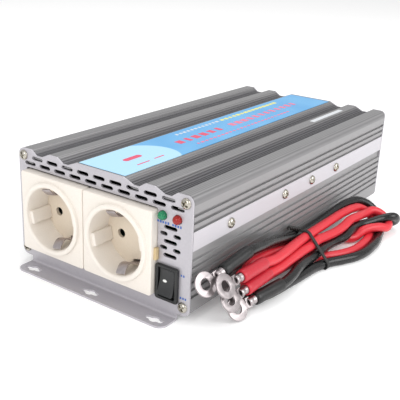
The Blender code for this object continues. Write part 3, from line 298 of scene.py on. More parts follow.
FINISH = {
    "steel": satin_steel(),
    "ivory": moulded("ivory_moulded_plastic", "#e4dcd1", "#eee7df", 0.34),
    # The well floor: the same ivory made darker and browner, painted shade at the bottom of the deep well.
    "ivory_floor_shade": moulded("ivory_plastic_painted_shade", "#d6c8b4", "#e0d4c3", 0.4),
    # Darker tan for the catch beside each socket: painted shade of the release notch.
    "catch_shade": moulded("tan_plastic_painted_notch_shade", "#c3ac80", "#d2bd94", 0.45),
    "black": moulded("black_abs", "#131415", "#1d1e1f", 0.32),
    "rocker": moulded("black_rocker_abs", "#1f2021", "#2c2d2f", 0.38),
    "white_mark": moulded("white_pad_print", "#dcdcd8", "#f0f0ec", 0.5),
    "green": lens_plastic("green_lens", "#0a7a4c", "#27b57c"),
    "red_lens": lens_plastic("red_lens", "#9c1512", "#cf2c22"),
    "nickel": plated("nickel_plate", "#a29d92", "#d2cdc2", 0.24),
    "tin": plated("tinned_copper", "#9f9698", "#c9c2c2", 0.36, 500.0),
    "brass": plated("turned_brass", "#a8843f", "#c9a55c", 0.3),
    "red_knob": moulded("red_knob_plastic", "#a31d20", "#bb2a2c", 0.36),
    "red_pvc": moulded("red_pvc_cable", "#c9212e", "#dc3340", 0.34, 900.0, 0.00003),
    "black_pvc": moulded("black_pvc_cable", "#08090a", "#101112", 0.26, 900.0, 0.00003),
    "red_shrink": heat_shrink("red_heat_shrink", "#b01b2a", "#c42838"),
    "black_shrink": heat_shrink("black_heat_shrink", "#0b0c0c", "#151617"),
    "paper_tie": moulded("black_paper_tie", "#1d1d1d", "#2e2d2c", 0.6),
    "board": moulded("green_circuit_board", "#12452a", "#1b5c38", 0.42),
    "ferrite": moulded("grey_ferrite", "#232325", "#333336", 0.6),
    "can": moulded("capacitor_film", "#1b2250", "#28306a", 0.35),
    "blue_print": moulded("blue_screen_print", "#2f55a0", "#4169b4", 0.5),
    "red_print": moulded("red_screen_print", "#d3405c", "#e4587a", 0.5),
    "pink_print": moulded("pink_screen_print", "#d9688a", "#e887a4", 0.5),
    "yellow_print": moulded("yellow_screen_print", "#e3dc6a", "#f0ec8c", 0.5),
    "sticker": moulded("white_paper_sticker", "#c9ccd1", "#dcdfe2", 0.55),
}
print("finishes:", len(FINISH))

# %% [markdown]
# Most pieces are lathed, cut from a sheet, or skinned over rings of points.
# They are built lying flat, with z out of the surface, and then seated by a
# matrix. A finished piece keeps its object at the origin and its place in its
# mesh, so a pattern in object space stays where it is.

# %% Shape helpers
def skin(shape, rings, closed=False):
    """Faces between rings of points. A ring of one point is a pole."""
    pairs = list(zip(rings, rings[1:])) + ([(rings[-1], rings[0])] if closed else [])
    for a, b in pairs:
        for k in range(max(len(a), len(b))):
            corners = [a[k % len(a)], a[(k + 1) % len(a)], b[(k + 1) % len(b)], b[k % len(b)]]
            corners = list(dict.fromkeys(corners))
            if len(corners) > 2:
                shape.faces.new(corners)
    return shape


def circle(radius, sides=48, middle=(0, 0)):
    turns = [2 * math.pi * k / sides for k in range(sides)]
    return [(middle[0] + radius * math.cos(t), middle[1] + radius * math.sin(t)) for t in turns]


def rounded(width, height, corner, middle=(0, 0), steps=6, along=1):
    """A rectangle with round corners, with the same number of points at any size."""
    points = []
    for quarter in range(4):
        i, j = ((1, 1), (-1, 1), (-1, -1), (1, -1))[quarter]
        cx, cy = i * (width / 2 - corner), j * (height / 2 - corner)
        for step in range(steps + 1):
            t = math.radians(90 * (quarter + step / steps))
            points.append((cx + corner * math.cos(t), cy + corner * math.sin(t)))
    if along > 1:
        filled = []
        for k, point in enumerate(points):
            filled.append(point)
            if (k + 1) % (steps + 1) == 0:
                after = points[(k + 1) % len(points)]
                for part in range(1, along):
                    f = part / along
                    filled.append(tuple(p + (q - p) * f for p, q in zip(point, after)))
        points = filled
    return [(middle[0] + x, middle[1] + y) for x, y in points]


def lathe(profile, sides=72, closed=True):
    """Turns (radius, height) points about z."""
    shape, rings = bmesh.new(), []
    for radius, height in profile:
        spots = [(0, 0)] if radius < 1e-7 else circle(radius, sides)
        rings.append([shape.verts.new((x, y, height)) for x, y in spots])
    return skin(shape, rings, closed)


def sheet_cut(outlines, low, high, edge=0.0):
    """A flat piece: outside first, then its holes, with edges rounded by edge."""
    curve = bpy.data.curves.new("cut", "CURVE")
    curve.dimensions, curve.fill_mode = "2D", "BOTH"
    curve.extrude, curve.bevel_depth = (high - low) / 2 - edge, edge
    curve.offset, curve.bevel_resolution = -edge, 2
    for outline in outlines:
        spline = curve.splines.new("POLY")
        spline.points.add(len(outline) - 1)
        for point, (x, y) in zip(spline.points, outline):
            point.co = (x, y, 0, 1)
        spline.use_cyclic_u = True
    thing = bpy.data.objects.new("cut", curve)
    scene.collection.objects.link(thing)
    mesh = bpy.data.meshes.new_from_object(thing.evaluated_get(bpy.context.evaluated_depsgraph_get()))
    bpy.data.objects.remove(thing)
    bpy.data.curves.remove(curve)
    shape = bmesh.new()
    shape.from_mesh(mesh)
    bpy.data.meshes.remove(mesh)
    bmesh.ops.translate(shape, vec=(0, 0, (low + high) / 2), verts=shape.verts)
    return shape


def seated(shape, seat):
    bmesh.ops.transform(shape, matrix=seat, verts=shape.verts)
    return shape


def together(*shapes):
    """One bmesh from several."""
    first = shapes[0]
    for other in shapes[1:]:
        mesh = bpy.data.meshes.new("part")
        other.to_mesh(mesh)
        other.free()
        first.from_mesh(mesh)
        bpy.data.meshes.remove(mesh)
    return first


def piece(name, shape, finish, body="inverter", stands_for=(), sharp=40):
    """Makes the object, gives it its finish, puts it on its body and hides the CAD parts it stands for."""
    bmesh.ops.remove_doubles(shape, verts=shape.verts, dist=1e-6)
    bmesh.ops.recalc_face_normals(shape, faces=shape.faces)
    mesh = bpy.data.meshes.new(name)
    shape.to_mesh(mesh)
    shape.free()
    mesh.shade_smooth()
    mesh.set_sharp_from_angle(angle=math.radians(sharp))
    mesh.materials.append(FINISH[finish])
    return declared(bpy.data.objects.new(name, mesh), body, stands_for)


def declared(thing, body, stands_for=()):
    scene.collection.objects.link(thing)
    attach(thing, body)
    if stands_for:
        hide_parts(*stands_for)
    return thing


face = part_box("socket_right_housing")[0].y + 0.0072


def on_face(x, z, out=0.0):
    """Seat on the front panel: z out of it, y up."""
    return Matrix.Translation((x, face - out, z)) @ Matrix.Rotation(math.pi / 2, 4, "X")


print("front panel face at y", round(face, 5))

# %% [markdown]
# The battery leads are two cables of fine strands in soft PVC, 6.2 mm across,
# one red and one black, folded into a hank with a paper-covered wire round it.
# Each starts as a rough route: places listed for its folds and for
# where it crosses the others. They give the order in which the runs lie.

# %% Rough routes of the two cables
CABLE = 0.0062
BLACK_ROUTE = [  # x across, y behind the panel face, z up, in millimetres
    (72.5, 23.1, 28.2), (74.1, 43.2, 31.9), (73.4, 60, 31.2), (71.2, 82, 26), (69.4, 101, 20.5),
    (68.9, 113, 18.6), (68.6, 132, 17.4), (68.7, 152, 18.2), (70, 171, 20.3), (73, 188, 21),
    (78.5, 200, 18.5), (85, 205, 13), (91, 200, 7.5), (95.5, 190, 3.6), (100, 176, 3.1), (102.8,
    160, 3.1), (103.2, 145, 3.1), (99.5, 131, 3.1), (92.5, 119, 3.1), (87.4, 108, 3.1), (85.8, 90,
    3.1), (85, 72, 3.1), (83.6, 55, 3.1), (81, 41, 3.1), (76, 33, 3.1), (70.5, 37, 3.1), (69.3,
    50, 3.1), (69.6, 75, 3.1), (71.8, 112, 3.1), (74.5, 135, 3.1), (77.5, 158, 3.1), (82.5, 180,
    3.1), (90, 196, 3.2), (97.5, 207, 3.3), (102.6, 213, 5.6), (103.2, 206, 10.2), (98.5, 198.5,
    12.4), (91, 186, 11.6), (85.5, 168, 10), (83.6, 140, 9.2), (83.4, 112, 9.2), (84.8, 92, 9.3),
    (86.4, 77, 9.4), (87.7, 60.5, 8.8), (84.3, 40.3, 7.7),
]
RED_ROUTE = [
    (79.3, 31.2, 23.4), (80, 51.7, 23.3), (79.9, 68, 22.6), (77.8, 90, 21.4), (75.4, 112, 20),
    (75, 140, 19.5), (75.6, 169, 19.8), (76, 187, 18.8), (78, 197.5, 16.2), (83.5, 204.5, 12.5),
    (89, 201, 8.6), (91, 190, 5.4), (93, 178, 4), (95.5, 165, 3.4), (96.5, 153, 3.4), (94.5, 140,
    3.4), (88.5, 128, 3.8), (82, 118, 5.6), (78, 108, 7.4), (75.3, 90, 8), (73.2, 70, 7.6), (71.8,
    52, 8), (71.4, 40, 9.5), (71.3, 35, 15.5), (71.5, 39.5, 21.5), (71.8, 51, 23.4), (72, 66,
    22.2), (72.1, 82, 19), (72.8, 98, 15.8), (73.4, 112, 13.4), (75.5, 132, 11.6), (80, 150, 10),
    (87, 165, 8.2), (94.5, 176, 7), (99.2, 186, 6.2), (99, 196, 7.2), (94, 204, 10.2), (88, 203.5,
    13.4), (85, 194, 15.2), (84, 176, 15.6), (82.8, 145, 15.4), (80, 114, 15), (80.2, 95, 15.6),
    (81, 72, 15.9), (81.2, 55.5, 15.5), (80.5, 35, 14.7),
]
print("route points:", len(BLACK_ROUTE), len(RED_ROUTE))

# %% [markdown]
# A rough route runs through itself and bends too sharply. A rigid body or cloth
# simulation could settle it, but both are slow on a thin round cable. Here each
# cable is a chain of points 2 mm apart, and the same few steps are repeated:
# points that are closer than a diameter push each other apart, the chain is
# drawn straight where it bends hard, it sinks a little, and the floor, the case
# and the sleeves hold it off. Nothing in it is random, so it always ends alike.

# %% Chains of points
import numpy as np

SPACING, APART, ROUNDS = 2.0, 6.3, 1400     # mm, mm, steps
CASE_SIDE, OUTER_LIMIT, FLOOR = 68.3, 103.5, 3.12     # limits of a cable's middle, mm
SLEEVE_GAP = 7.0      # middle of a cable to middle of a sleeve, mm
ENDS = 11             # points held at each end
NEIGHBOURS = 8        # points along one cable that are too near to push each other
STRAIGHTENED = 12     # bends under this radius are drawn straighter, mm
SINK = 0.01           # how far each step lets the cable sink, mm
ROUTE_STEP = 11.5     # points of the finished curve, mm apart


def even(line, count):
    """The same line with evenly spaced points."""
    gone = np.r_[0, np.cumsum(np.linalg.norm(np.diff(line, axis=0), axis=1))]
    spots = np.linspace(0, gone[-1], count)
    return np.stack([np.interp(spots, gone, line[:, k]) for k in range(3)], axis=1)


def chain(route):
    """A Catmull-Rom curve through a rough route, with a point every 2 mm."""
    p = np.array(route, float)
    p = np.vstack([2 * p[0] - p[1], p, 2 * p[-1] - p[-2]])
    t = np.linspace(0, 1, 16, endpoint=False)[:, None]
    parts = [0.5 * (2 * b + (c - a) * t + (2 * a - 5 * b + 4 * c - d) * t ** 2
                    + (3 * b - a - 3 * c + d) * t ** 3) for a, b, c, d in zip(p, p[1:], p[2:], p[3:])]
    line = np.vstack(parts + [p[-2:-1]])
    length = np.linalg.norm(np.diff(line, axis=0), axis=1).sum()
    return even(line, int(round(length / SPACING)) + 1)


def radius_of_bend(line):
    """Radius of the circle through each three points in a row; the ends count as straight."""
    a, b, c = line[:-2] - line[1:-1], line[2:] - line[1:-1], line[2:] - line[:-2]
    long = [np.linalg.norm(v, axis=1) for v in (a, b, c)]
    area = np.linalg.norm(np.cross(a, b), axis=1) / 2
    return np.r_[99, long[0] * long[1] * long[2] / (4 * np.maximum(area, 1e-9)), 99]


print("black chain", len(chain(BLACK_ROUTE)), "red chain", len(chain(RED_ROUTE)))

# %% [markdown]
# The settling holds the first and last points of each chain in line with their
# sleeves. Runs that are pushed from several sides take the mean of the pushes,
# so the pile stays calm. The route pulls weakly at its chain, and less so after
# the first part, so that the folds stay where they were put. Some folds end
# tighter than two diameters, as on a hank that has been tied hard.

# %% Settling
LEADS = {  # middle of each ring behind the panel face, and the way to its sleeve
    "black_1": ((0.0711, 0.0055, 0.0249), (0.080, 1, 0.185)),
    "red_1": ((0.0787, 0.0132, 0.0234), (0.035, 1, -0.002)),
    "red_2": ((0.0800, 0.0170, 0.0140), (0.030, 1, 0.040)),
    "black_2": ((0.0813, 0.0226, 0.0067), (0.170, 1, 0.055)),
}
sleeves = np.array([Vector(spot) * 1000 + Vector(way).normalized() * float(along)
                    for spot, way in LEADS.values() for along in np.arange(3, 39, 1.5)])


def pushes(points, cable, order):
    """The mean push on each point from runs that are too close, and from sleeves."""
    square = (points ** 2).sum(axis=1)
    near = square[:, None] + square - 2 * points @ points.T < APART ** 2
    a, b = np.nonzero(np.triu(near, 1))
    other = (cable[a] != cable[b]) | (abs(order[a] - order[b]) > NEIGHBOURS)
    a, b = a[other], b[other]
    way = points[a] - points[b]
    gap = np.linalg.norm(way, axis=1) + 1e-6
    push = way / gap[:, None] * ((APART - gap) / 2)[:, None]
    total, count = np.zeros_like(points), np.zeros(len(points))
    for spots, sign in ((a, 1), (b, -1)):
        np.add.at(total, spots, sign * push)
        np.add.at(count, spots, 1)
    last = np.array([(cable == 0).sum(), (cable == 1).sum()])[cable]
    loose = (order > ENDS + 2) & (order < last - ENDS - 3)
    off = points[:, None] - sleeves
    far = np.linalg.norm(off, axis=2)
    nearest = far.argmin(axis=1)
    rows = np.arange(len(points))
    gap = far[rows, nearest] + 1e-6
    held = loose & (gap < SLEEVE_GAP)
    away = off[rows, nearest] / gap[:, None] * ((SLEEVE_GAP - gap) * 0.5)[:, None]
    total[held] += away[held]
    count[held] += 1
    return total / np.maximum(count, 1)[:, None]


def settled(routes):
    """The chains after all the steps."""
    lines = [chain(route) for route in routes]
    homes = [line.copy() for line in lines]
    cable = np.repeat([0, 1], [len(line) for line in lines])
    order = np.concatenate([np.arange(len(line)) for line in lines])
    for step in range(ROUNDS):
        push = pushes(np.vstack(lines), cable, order)
        for k, line in enumerate(lines):
            line += 0.5 * push[cable == k]
            line += (homes[k] - line) * (0.03 if step < 0.4 * ROUNDS else 0.006)
            line[:, 2] -= SINK
            bend, wave = np.zeros_like(line), np.zeros_like(line)
            bend[1:-1] = (line[:-2] + line[2:]) / 2 - line[1:-1]
            wave[1:-1] = (bend[:-2] + bend[2:]) / 2 - bend[1:-1]
            line -= wave * (0.2 if step < 0.5 * ROUNDS else 0.235)
            tight = np.clip(1 - radius_of_bend(line) / STRAIGHTENED, 0, 1)
            line += bend * tight[:, None] * 0.3
            line[:, 0] = np.clip(line[:, 0], CASE_SIDE, OUTER_LIMIT)
            line[:, 2] = np.maximum(line[:, 2], FLOOR)
            for end in (slice(0, ENDS), slice(-ENDS, None)):
                line[end] = homes[k][end]
            if step % 20 == 19:
                middle = line[ENDS - 1:1 - ENDS]
                line[ENDS - 1:1 - ENDS] = even(middle, len(middle))
    return lines


def closest(lines):
    """The least distance between the middles of two runs."""
    points = np.vstack(lines)
    cable = np.repeat([0, 1], [len(line) for line in lines])
    order = np.concatenate([np.arange(len(line)) for line in lines])
    far = np.linalg.norm(points[:, None] - points, axis=2)
    apart = (cable[:, None] != cable) | (abs(order[:, None] - order) > NEIGHBOURS)
    return far[apart].min()


LINES = settled([BLACK_ROUTE, RED_ROUTE])
for name, line in zip(("black", "red"), LINES):
    print(name, "length %.1f mm, tightest bend %.1f mm" % (
        np.linalg.norm(np.diff(line, axis=0), axis=1).sum(), radius_of_bend(line).min()))
print("closest runs %.2f mm apart" % closest(LINES))
for line in LINES:
    line[:, 1] += face * 1000
BLACK_LINE, RED_LINE = ([tuple(p) for p in even(line, int(round(len(line) * SPACING / ROUTE_STEP)) + 1)]
                        for line in LINES)

# %% [markdown]
# Each end of a cable has a ring terminal, stamped from a tinned copper tube
# that is pressed flat at the front, and a heat-shrink sleeve over the crimp.
# Both follow the line that the CAD lead gives: from the middle of the ring to
# the far end of the sleeve.

# %% Ring terminals and sleeves
def lead_seat(name, along="x"):
    """x along the lead and z out of the ring, or z along the lead."""
    spot, way = LEADS[name]
    way = Vector(way).normalized()
    out = Vector((math.sin(math.radians(55)), 0, math.cos(math.radians(55))))
    out = (out - out.dot(way) * way).normalized()
    axes = (way, out.cross(way), out) if along == "x" else (out, way.cross(out), way)
    spot = Vector(spot) + Vector((0, face, 0))
    return Matrix.Translation(spot) @ Matrix(axes).transposed().to_4x4()


for name in LEADS:
    tongue = [(x, y) for x, y in circle(0.007, 60) if x < 0.0064]
    tongue.sort(key=lambda p: -math.atan2(p[1], -p[0]))
    tongue += [(0.0078, 0.0026), (0.0102, 0.0027), (0.0102, -0.0027), (0.0078, -0.0026)]
    ring = seated(sheet_cut([tongue, circle(0.0032, 40)], -0.0006, 0.0006, 0.0002), lead_seat(name))
    barrel = lathe([(0.0018, 0.0090), (0.0024, 0.0090), (0.0026, 0.0095), (0.0026, 0.0108),
                    (0.00235, 0.0116), (0.00235, 0.0126), (0.0026, 0.0134), (0.0026, 0.0172),
                    (0.0024, 0.0175), (0.0018, 0.0175)], 40)
    piece("ring_" + name, together(ring, seated(barrel, lead_seat(name, "z"))), "tin", "leads",
          ["ring_terminal_" + name])
    colour = name.split("_")[0]
    tube = lathe([(0.0027, 0.0146), (0.0033, 0.0145), (0.0037, 0.0149), (0.00388, 0.0160),
                  (0.0039, 0.0190), (0.00382, 0.0240), (0.00388, 0.0300), (0.00386, 0.0360),
                  (0.00376, 0.0381), (0.0036, 0.0385), (0.0030, 0.0385), (0.0030, 0.0240),
                  (0.0027, 0.0180)], 48)
    piece("shrink_" + name, seated(tube, lead_seat(name, "z")), colour + "_shrink", "leads",
          ["sleeve_" + name])
print("leads:", list(LEADS))

# %% [markdown]
# The tie is a paper-covered wire laid once round the bundle and twisted. Its
# loop is the outline of the runs that cross its plane, a cable radius out: for each direction
# the run that reaches furthest carries the tie.

# %% Twist tie
TIE_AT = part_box("hank_tie")[0].y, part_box("hank_tie")[1].y
tie_middle = 500 * sum(TIE_AT)
RUNS = []
for line in LINES:
    for p, q in zip(line, line[1:]):
        if (p[1] - tie_middle) * (q[1] - tie_middle) <= 0 and p[1] != q[1]:
            place = p + (q - p) * (tie_middle - p[1]) / (q[1] - p[1])
            RUNS.append((place[0], place[2]))
print("runs at the tie:", [(round(float(x), 1), round(float(z), 1)) for x, z in RUNS])


def bundle_outline(reach, lowest):
    points = []
    for k in range(72):
        t = 2 * math.pi * k / 72
        x, z = max(RUNS, key=lambda run: run[0] * math.cos(t) + run[1] * math.sin(t))
        points.append((max((x + reach * math.cos(t)) / 1000, 0.06515),
                       max((z + reach * math.sin(t)) / 1000, lowest)))
    return points


def strand(points, radius, sides=8):
    """A thin round wire through points."""
    shape, rings = bmesh.new(), []
    for k, point in enumerate(points):
        way = Vector(points[min(k + 1, len(points) - 1)]) - Vector(points[max(k - 1, 0)])
        turn = way.to_track_quat("Z", "Y").to_matrix()
        rings.append([shape.verts.new(Vector(point) + turn @ Vector((x, y, 0)))
                      for x, y in circle(radius, sides)])
    tips = [[shape.verts.new(points[0])], [shape.verts.new(points[-1])]]
    return skin(shape, [tips[0]] + rings + [tips[1]])


shape, rings = bmesh.new(), []
for y, reach, lowest in ((TIE_AT[0], 3.3, 0.0003), (TIE_AT[0], 4.0, 0.0001),
                         (TIE_AT[1], 4.0, 0.0001), (TIE_AT[1], 3.3, 0.0003)):
    rings.append([shape.verts.new((x, y, z)) for x, z in bundle_outline(reach, lowest)])
loop = skin(shape, rings, closed=True)
start, end = Vector((0.0700, -0.0180, 0.0216)), Vector((0.0682, -0.0300, 0.0262))
twist = []
for half in (0, math.pi):
    points = []
    for k in range(41):
        f = k / 40
        spread = 0.0009 * (1 + 1.5 * max(0, f - 0.8))
        points.append(start.lerp(end, f) + Vector((spread * math.cos(half + 14 * f), 0,
                                                   spread * math.sin(half + 14 * f))))
    twist.append(strand(points, 0.0007))
piece("twist_tie", together(loop, *twist), "paper_tie", "leads", ["hank_tie"])
print("tie at y", [round(y, 4) for y in TIE_AT])

# %% [markdown]
# Each cable is a Bezier curve with a round bevel through its settled points, and
# its ends are inside the sleeves.


def cable(name, route, ends):
    curve = bpy.data.curves.new(name, "CURVE")
    curve.dimensions = "3D"
    curve.bevel_depth, curve.bevel_resolution, curve.resolution_u = CABLE / 2, 6, 8
    curve.use_fill_caps = True
    spline = curve.splines.new("BEZIER")
    spline.bezier_points.add(len(route) - 1)
    for point, place in zip(spline.bezier_points, route):
        point.co = Vector(place) / 1000
        point.handle_left_type = point.handle_right_type = "AUTO"
    curve.materials.append(FINISH[name.split("_")[0] + "_pvc"])
    thing = declared(bpy.data.objects.new(name, curve), "leads",
                     ["lead_hank"])
    pieces = [bpy.data.objects[part + end] for end in ends for part in ("ring_", "shrink_")]
    if "black" in name:
        pieces.append(bpy.data.objects["twist_tie"])


cable("black_cable", BLACK_LINE, ("black_1", "black_2"))
cable("red_cable", RED_LINE, ("red_1", "red_2"))
print("cables declared")

# %% [markdown]
# A round earthed socket is one ivory moulding: a square plate with soft edges,
# a raised rim, and a round well 17.5 mm deep. It could be modelled with
# booleans. Skinning rings from the square to the circle keeps the faces even,
# and gives the small radius that catches the light at each edge.

# %% Socket mouldings
TURN = math.radians(12)
MOULD = [  # s is a square of that half width, c a circle of that radius
    ("s", 25.0, 1.50, -1.2), ("s", 25.0, 1.50, 4.35), ("s", 24.95, 1.45, 4.65),
    ("s", 24.8, 1.35, 4.86), ("s", 24.55, 1.20, 4.97), ("s", 24.3, 1.10, 5.0),
    ("c", 22.95, 0, 5.0), ("c", 22.65, 0, 5.1), ("c", 22.5, 0, 5.4), ("c", 22.46, 0, 6.6),
    ("c", 22.35, 0, 6.95), ("c", 22.0, 0, 7.2), ("c", 20.35, 0, 7.2), ("c", 20.1, 0, 7.12),
    ("c", 19.45, 0, 6.45), ("c", 19.3, 0, 6.1), ("c", 19.3, 0, -12.4), ("c", 21.5, 0, -12.4),
    ("c", 21.5, 0, 3.2), ("s", 23.2, 0.60, 3.2), ("s", 23.2, 0.60, -1.2),
]


def moulding():
    shape, rings = bmesh.new(), []
    guide = rounded(0.05, 0.05, 0.0015, along=20)
    for kind, size, corner, out in MOULD:
        if kind == "s":
            spots = rounded(size / 500, size / 500, corner / 1000, along=20)
        else:
            spots = [tuple(Vector(p).normalized() * size / 1000) for p in guide]
        rings.append([shape.verts.new((x, y, out / 1000)) for x, y in spots])
    return skin(shape, rings, closed=True)


def spun(outline, angle):
    c, s = math.cos(angle), math.sin(angle)
    return [(x * c - y * s, x * s + y * c) for x, y in outline]


def leaf():
    """The side view of a sprung earth contact, and its two faces 0.8 mm apart."""
    line = [(18.3, 5.2), (17.6, 4.9), (16.7, 4.2), (15.2, 2.8), (14.1, 1.3), (13.75, -0.4),
            (14.0, -2.0), (14.9, -3.8), (15.8, -5.6), (16.3, -7.4), (16.4, -10.6)]
    line = [Vector(p) / 1000 for p in line]
    sides = []
    for sign in (1, -1):
        offset = []
        for k, point in enumerate(line):
            way = (line[min(k + 1, len(line) - 1)] - line[max(k - 1, 0)]).normalized()
            offset.append(tuple(point + sign * 0.0004 * Vector((way.y, -way.x))))
        sides.append(offset)
    return sides[0] + sides[1][::-1]


for side_name in ("left", "right"):
    node = "socket_%s_housing" % side_name
    low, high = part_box(node)
    x = low.x + 0.025 if side_name == "right" else high.x - 0.025
    seat = on_face(x, (low.z + high.z) / 2)
    parts = [moulding()]
    for angle in (TURN, TURN + math.pi):
        block = rounded(0.0036, 0.0080, 0.0007, (0.0183, 0))
        parts.append(sheet_cut([spun(block, angle)], -0.0103, 0.0046, 0.0004))
    piece("socket_" + side_name, seated(together(*parts), seat), "ivory",
          stands_for=[node])
    holes = [spun(circle(0.00275, 32, (sign * 0.0095, 0)), TURN) for sign in (-1, 1)]
    holes += [spun(rounded(0.0072, 0.0030, 0.0004, (0, sign * 0.0166)), TURN) for sign in (-1, 1)]
    # The floor of the well gets the darker ivory: painted shade in the well.
    well_floor = sheet_cut([circle(0.01935, 96)] + holes, -0.0123, -0.0103)
    piece("well_floor_" + side_name, seated(well_floor, seat), "ivory_floor_shade",
          stands_for=["socket_%s_insert" % side_name])
    springs = []
    for angle in (TURN, TURN + math.pi):
        spring = sheet_cut([leaf()], -0.0033, 0.0033, 0.00015)
        stand = Matrix(((0, 0, 1), (1, 0, 0), (0, 1, 0))).to_4x4()
        springs.append(seated(spring, Matrix.Rotation(angle, 4, "Z") @ stand))
    piece("earth_springs_" + side_name, seated(together(*springs), seat), "tin",
          stands_for=["socket_%s_earth_strap" % side_name])
    sign = 1 if side_name == "right" else -1
    # A tan block on the plate's side, darker than the ivory: painted shade of the notch where the snap is
    # released.
    catch_shade = sheet_cut([rounded(0.0019, 0.007, 0.0004, (sign * 0.02585, 0))], 0.0003, 0.0029, 0.0003)
    piece("catch_" + side_name, seated(catch_shade, seat), "catch_shade")
print("sockets done")

# %% [markdown]
# The two indicators are 5 mm lamps: a round-nosed cylinder that looks out of
# the panel, with a flange behind it.

# %% Lamps
for name, finish, slot in (("led_power", "green", "green_lens"), ("led_fault", "red_lens", "red_lens")):
    low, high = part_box(name)
    dome = [(0.0025 * math.sin(math.radians(a)), 0.0008 + 0.0025 * math.cos(math.radians(a)))
            for a in range(0, 91, 9)]
    lamp = lathe([(0, 0.0033)] + dome[1:] + [(0.0025, -0.0015), (0.0029, -0.0015),
                 (0.0029, -0.0025), (0.00225, -0.0025), (0.00225, -0.005), (0, -0.005)], 48, False)
    middle = (low + high) / 2
    piece(name + "_lens", seated(lamp, on_face(middle.x, middle.z)), finish,
          stands_for=[name])
print("lamps done")

# %% [markdown]
# The rocker switch is a snap-in body with a soft-edged bezel, and a rocker with
# a hollow face that tips by 10 degrees to each side. The rocker is built in the
# side view and pushed across by its width. Its pad-printed dot moves with it.

# %% Rocker switch
low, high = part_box("switch_body")
switch_x, switch_z = (low.x + high.x) / 2, (low.z + high.z) / 2
pocket = rounded(0.0112, 0.0172, 0.0006)
body = together(
    sheet_cut([rounded(0.0154, 0.0210, 0.0016), pocket], 0.0001, 0.0020, 0.0005),
    sheet_cut([rounded(0.0129, 0.0190, 0.0008), pocket], -0.0075, 0.0006),
    sheet_cut([rounded(0.0129, 0.0190, 0.0008)], -0.0150, -0.0075))
piece("switch_bezel", seated(body, on_face(switch_x, switch_z)), "black",
      stands_for=["switch_body"])
LEAN = math.radians(-10)
HALF = 0.0075


def rocker_point(out, up):
    """A point of the rocker's side view, leaned, as y and z from the pivot."""
    return (-out * math.cos(LEAN) - up * math.sin(LEAN), -out * math.sin(LEAN) + up * math.cos(LEAN))


def rocker_face(up):
    return 0.0034 + 0.0012 * (up / HALF) ** 2


steps = [HALF - HALF * k / 10 for k in range(21)]
section = [rocker_point(rocker_face(up), up) for up in steps]
section += [rocker_point(*p) for p in ((0.001, -HALF), (-0.003, -HALF * 0.42),
                                       (-0.003, HALF * 0.42), (0.001, HALF))]
across = Matrix.Translation((switch_x, face + 0.002, switch_z)) @ Matrix(
    ((0, 0, 1), (1, 0, 0), (0, 1, 0))).to_4x4()
piece("rocker_key", seated(sheet_cut([section], -0.0051, 0.0051, 0.0006), across), "rocker",
      "rocker", ["switch_rocker"])
dot = lathe([(0, 0.00012), (0.0007, 0.00012), (0.0009, 0.00005), (0.0009, -0.0002), (0, -0.0002)],
            24, False)
y, z = rocker_point(rocker_face(0.0006), 0.0006)
spot = Matrix.Translation((switch_x - 0.0012, face + 0.002 + y, switch_z + z))
lie = spot @ Matrix.Rotation(math.pi / 2 + LEAN, 4, "X") @ Matrix.Diagonal((1.5, 0.85, 1, 1))
piece("rocker_dot", seated(dot, lie), "white_mark", "rocker")
print("switch at", round(switch_x, 4), round(switch_z, 4))

# %% [markdown]
# The screws are nickel-plated pan heads with a cross recess. One head is cut
# with a boolean, and Geometry Nodes put a copy on each screw place, square to
# the surface, each turned by its own amount from a fixed seed, because screws
# never stop at the same angle. The places are read from the CAD screws.

# %% One screw head
def made_mesh(thing):
    """The evaluated mesh of an object, and the object is removed."""
    scene.collection.objects.link(thing)
    mesh = bpy.data.meshes.new_from_object(thing.evaluated_get(bpy.context.evaluated_depsgraph_get()))
    bpy.data.objects.remove(thing)
    return mesh


def screw_head():
    head = lathe([(0, 0.00180), (0.0010, 0.00176), (0.0018, 0.00158), (0.0025, 0.00118),
                  (0.0029, 0.00070), (0.00308, 0.00030), (0.0031, 0), (0.0016, 0),
                  (0.0016, -0.005), (0, -0.005)], 28, False)
    mesh = bpy.data.meshes.new("head")
    head.to_mesh(mesh)
    head.free()
    thing = bpy.data.objects.new("head", mesh)
    cutters = []
    for long, wide in ((0.0023, 0.00058), (0.00058, 0.0023)):
        shape = bmesh.new()
        rings = []
        for z, size in ((0.0022, 1.0), (0.0016, 1.0), (0.0002, 0.55)):
            rings.append([shape.verts.new((i * long * size, j * wide * size, z))
                          for i, j in ((1, 1), (-1, 1), (-1, -1), (1, -1))])
        skin(shape, rings)
        shape.faces.new(rings[0])
        shape.faces.new(rings[-1])
        bmesh.ops.recalc_face_normals(shape, faces=shape.faces)
        cut = bpy.data.meshes.new("slot")
        shape.to_mesh(cut)
        shape.free()
        cutter = bpy.data.objects.new("slot", cut)
        scene.collection.objects.link(cutter)
        cutters.append(cutter)
        modifier = thing.modifiers.new("slot", "BOOLEAN")
        modifier.object, modifier.operation, modifier.solver = cutter, "DIFFERENCE", "EXACT"
    mesh = made_mesh(thing)
    for cutter in cutters:
        bpy.data.objects.remove(cutter)
    mesh.shade_smooth()
    mesh.set_sharp_from_angle(angle=math.radians(35))
    return mesh


head_mesh = screw_head()
print("head faces:", len(head_mesh.polygons))

# %% [markdown]
# A Geometry Nodes tree has its sizes as named inputs, so it can be used again
# with other values. Three small helpers make an empty tree, end it with real
# geometry and a material, and turn its result into a plain mesh.

# %% Screw tree
def tree_with(name, sockets, geometry=False):
    """An empty Geometry Nodes tree with these named inputs."""
    tree = bpy.data.node_groups.new(name, "GeometryNodeTree")
    if geometry:
        tree.interface.new_socket(name="Geometry", in_out="INPUT", socket_type="NodeSocketGeometry")
    for socket, kind in sockets:
        tree.interface.new_socket(name=socket, in_out="INPUT", socket_type="NodeSocket" + kind)
    tree.interface.new_socket(name="Geometry", in_out="OUTPUT", socket_type="NodeSocketGeometry")
    return tree, add(tree, "NodeGroupInput").outputs


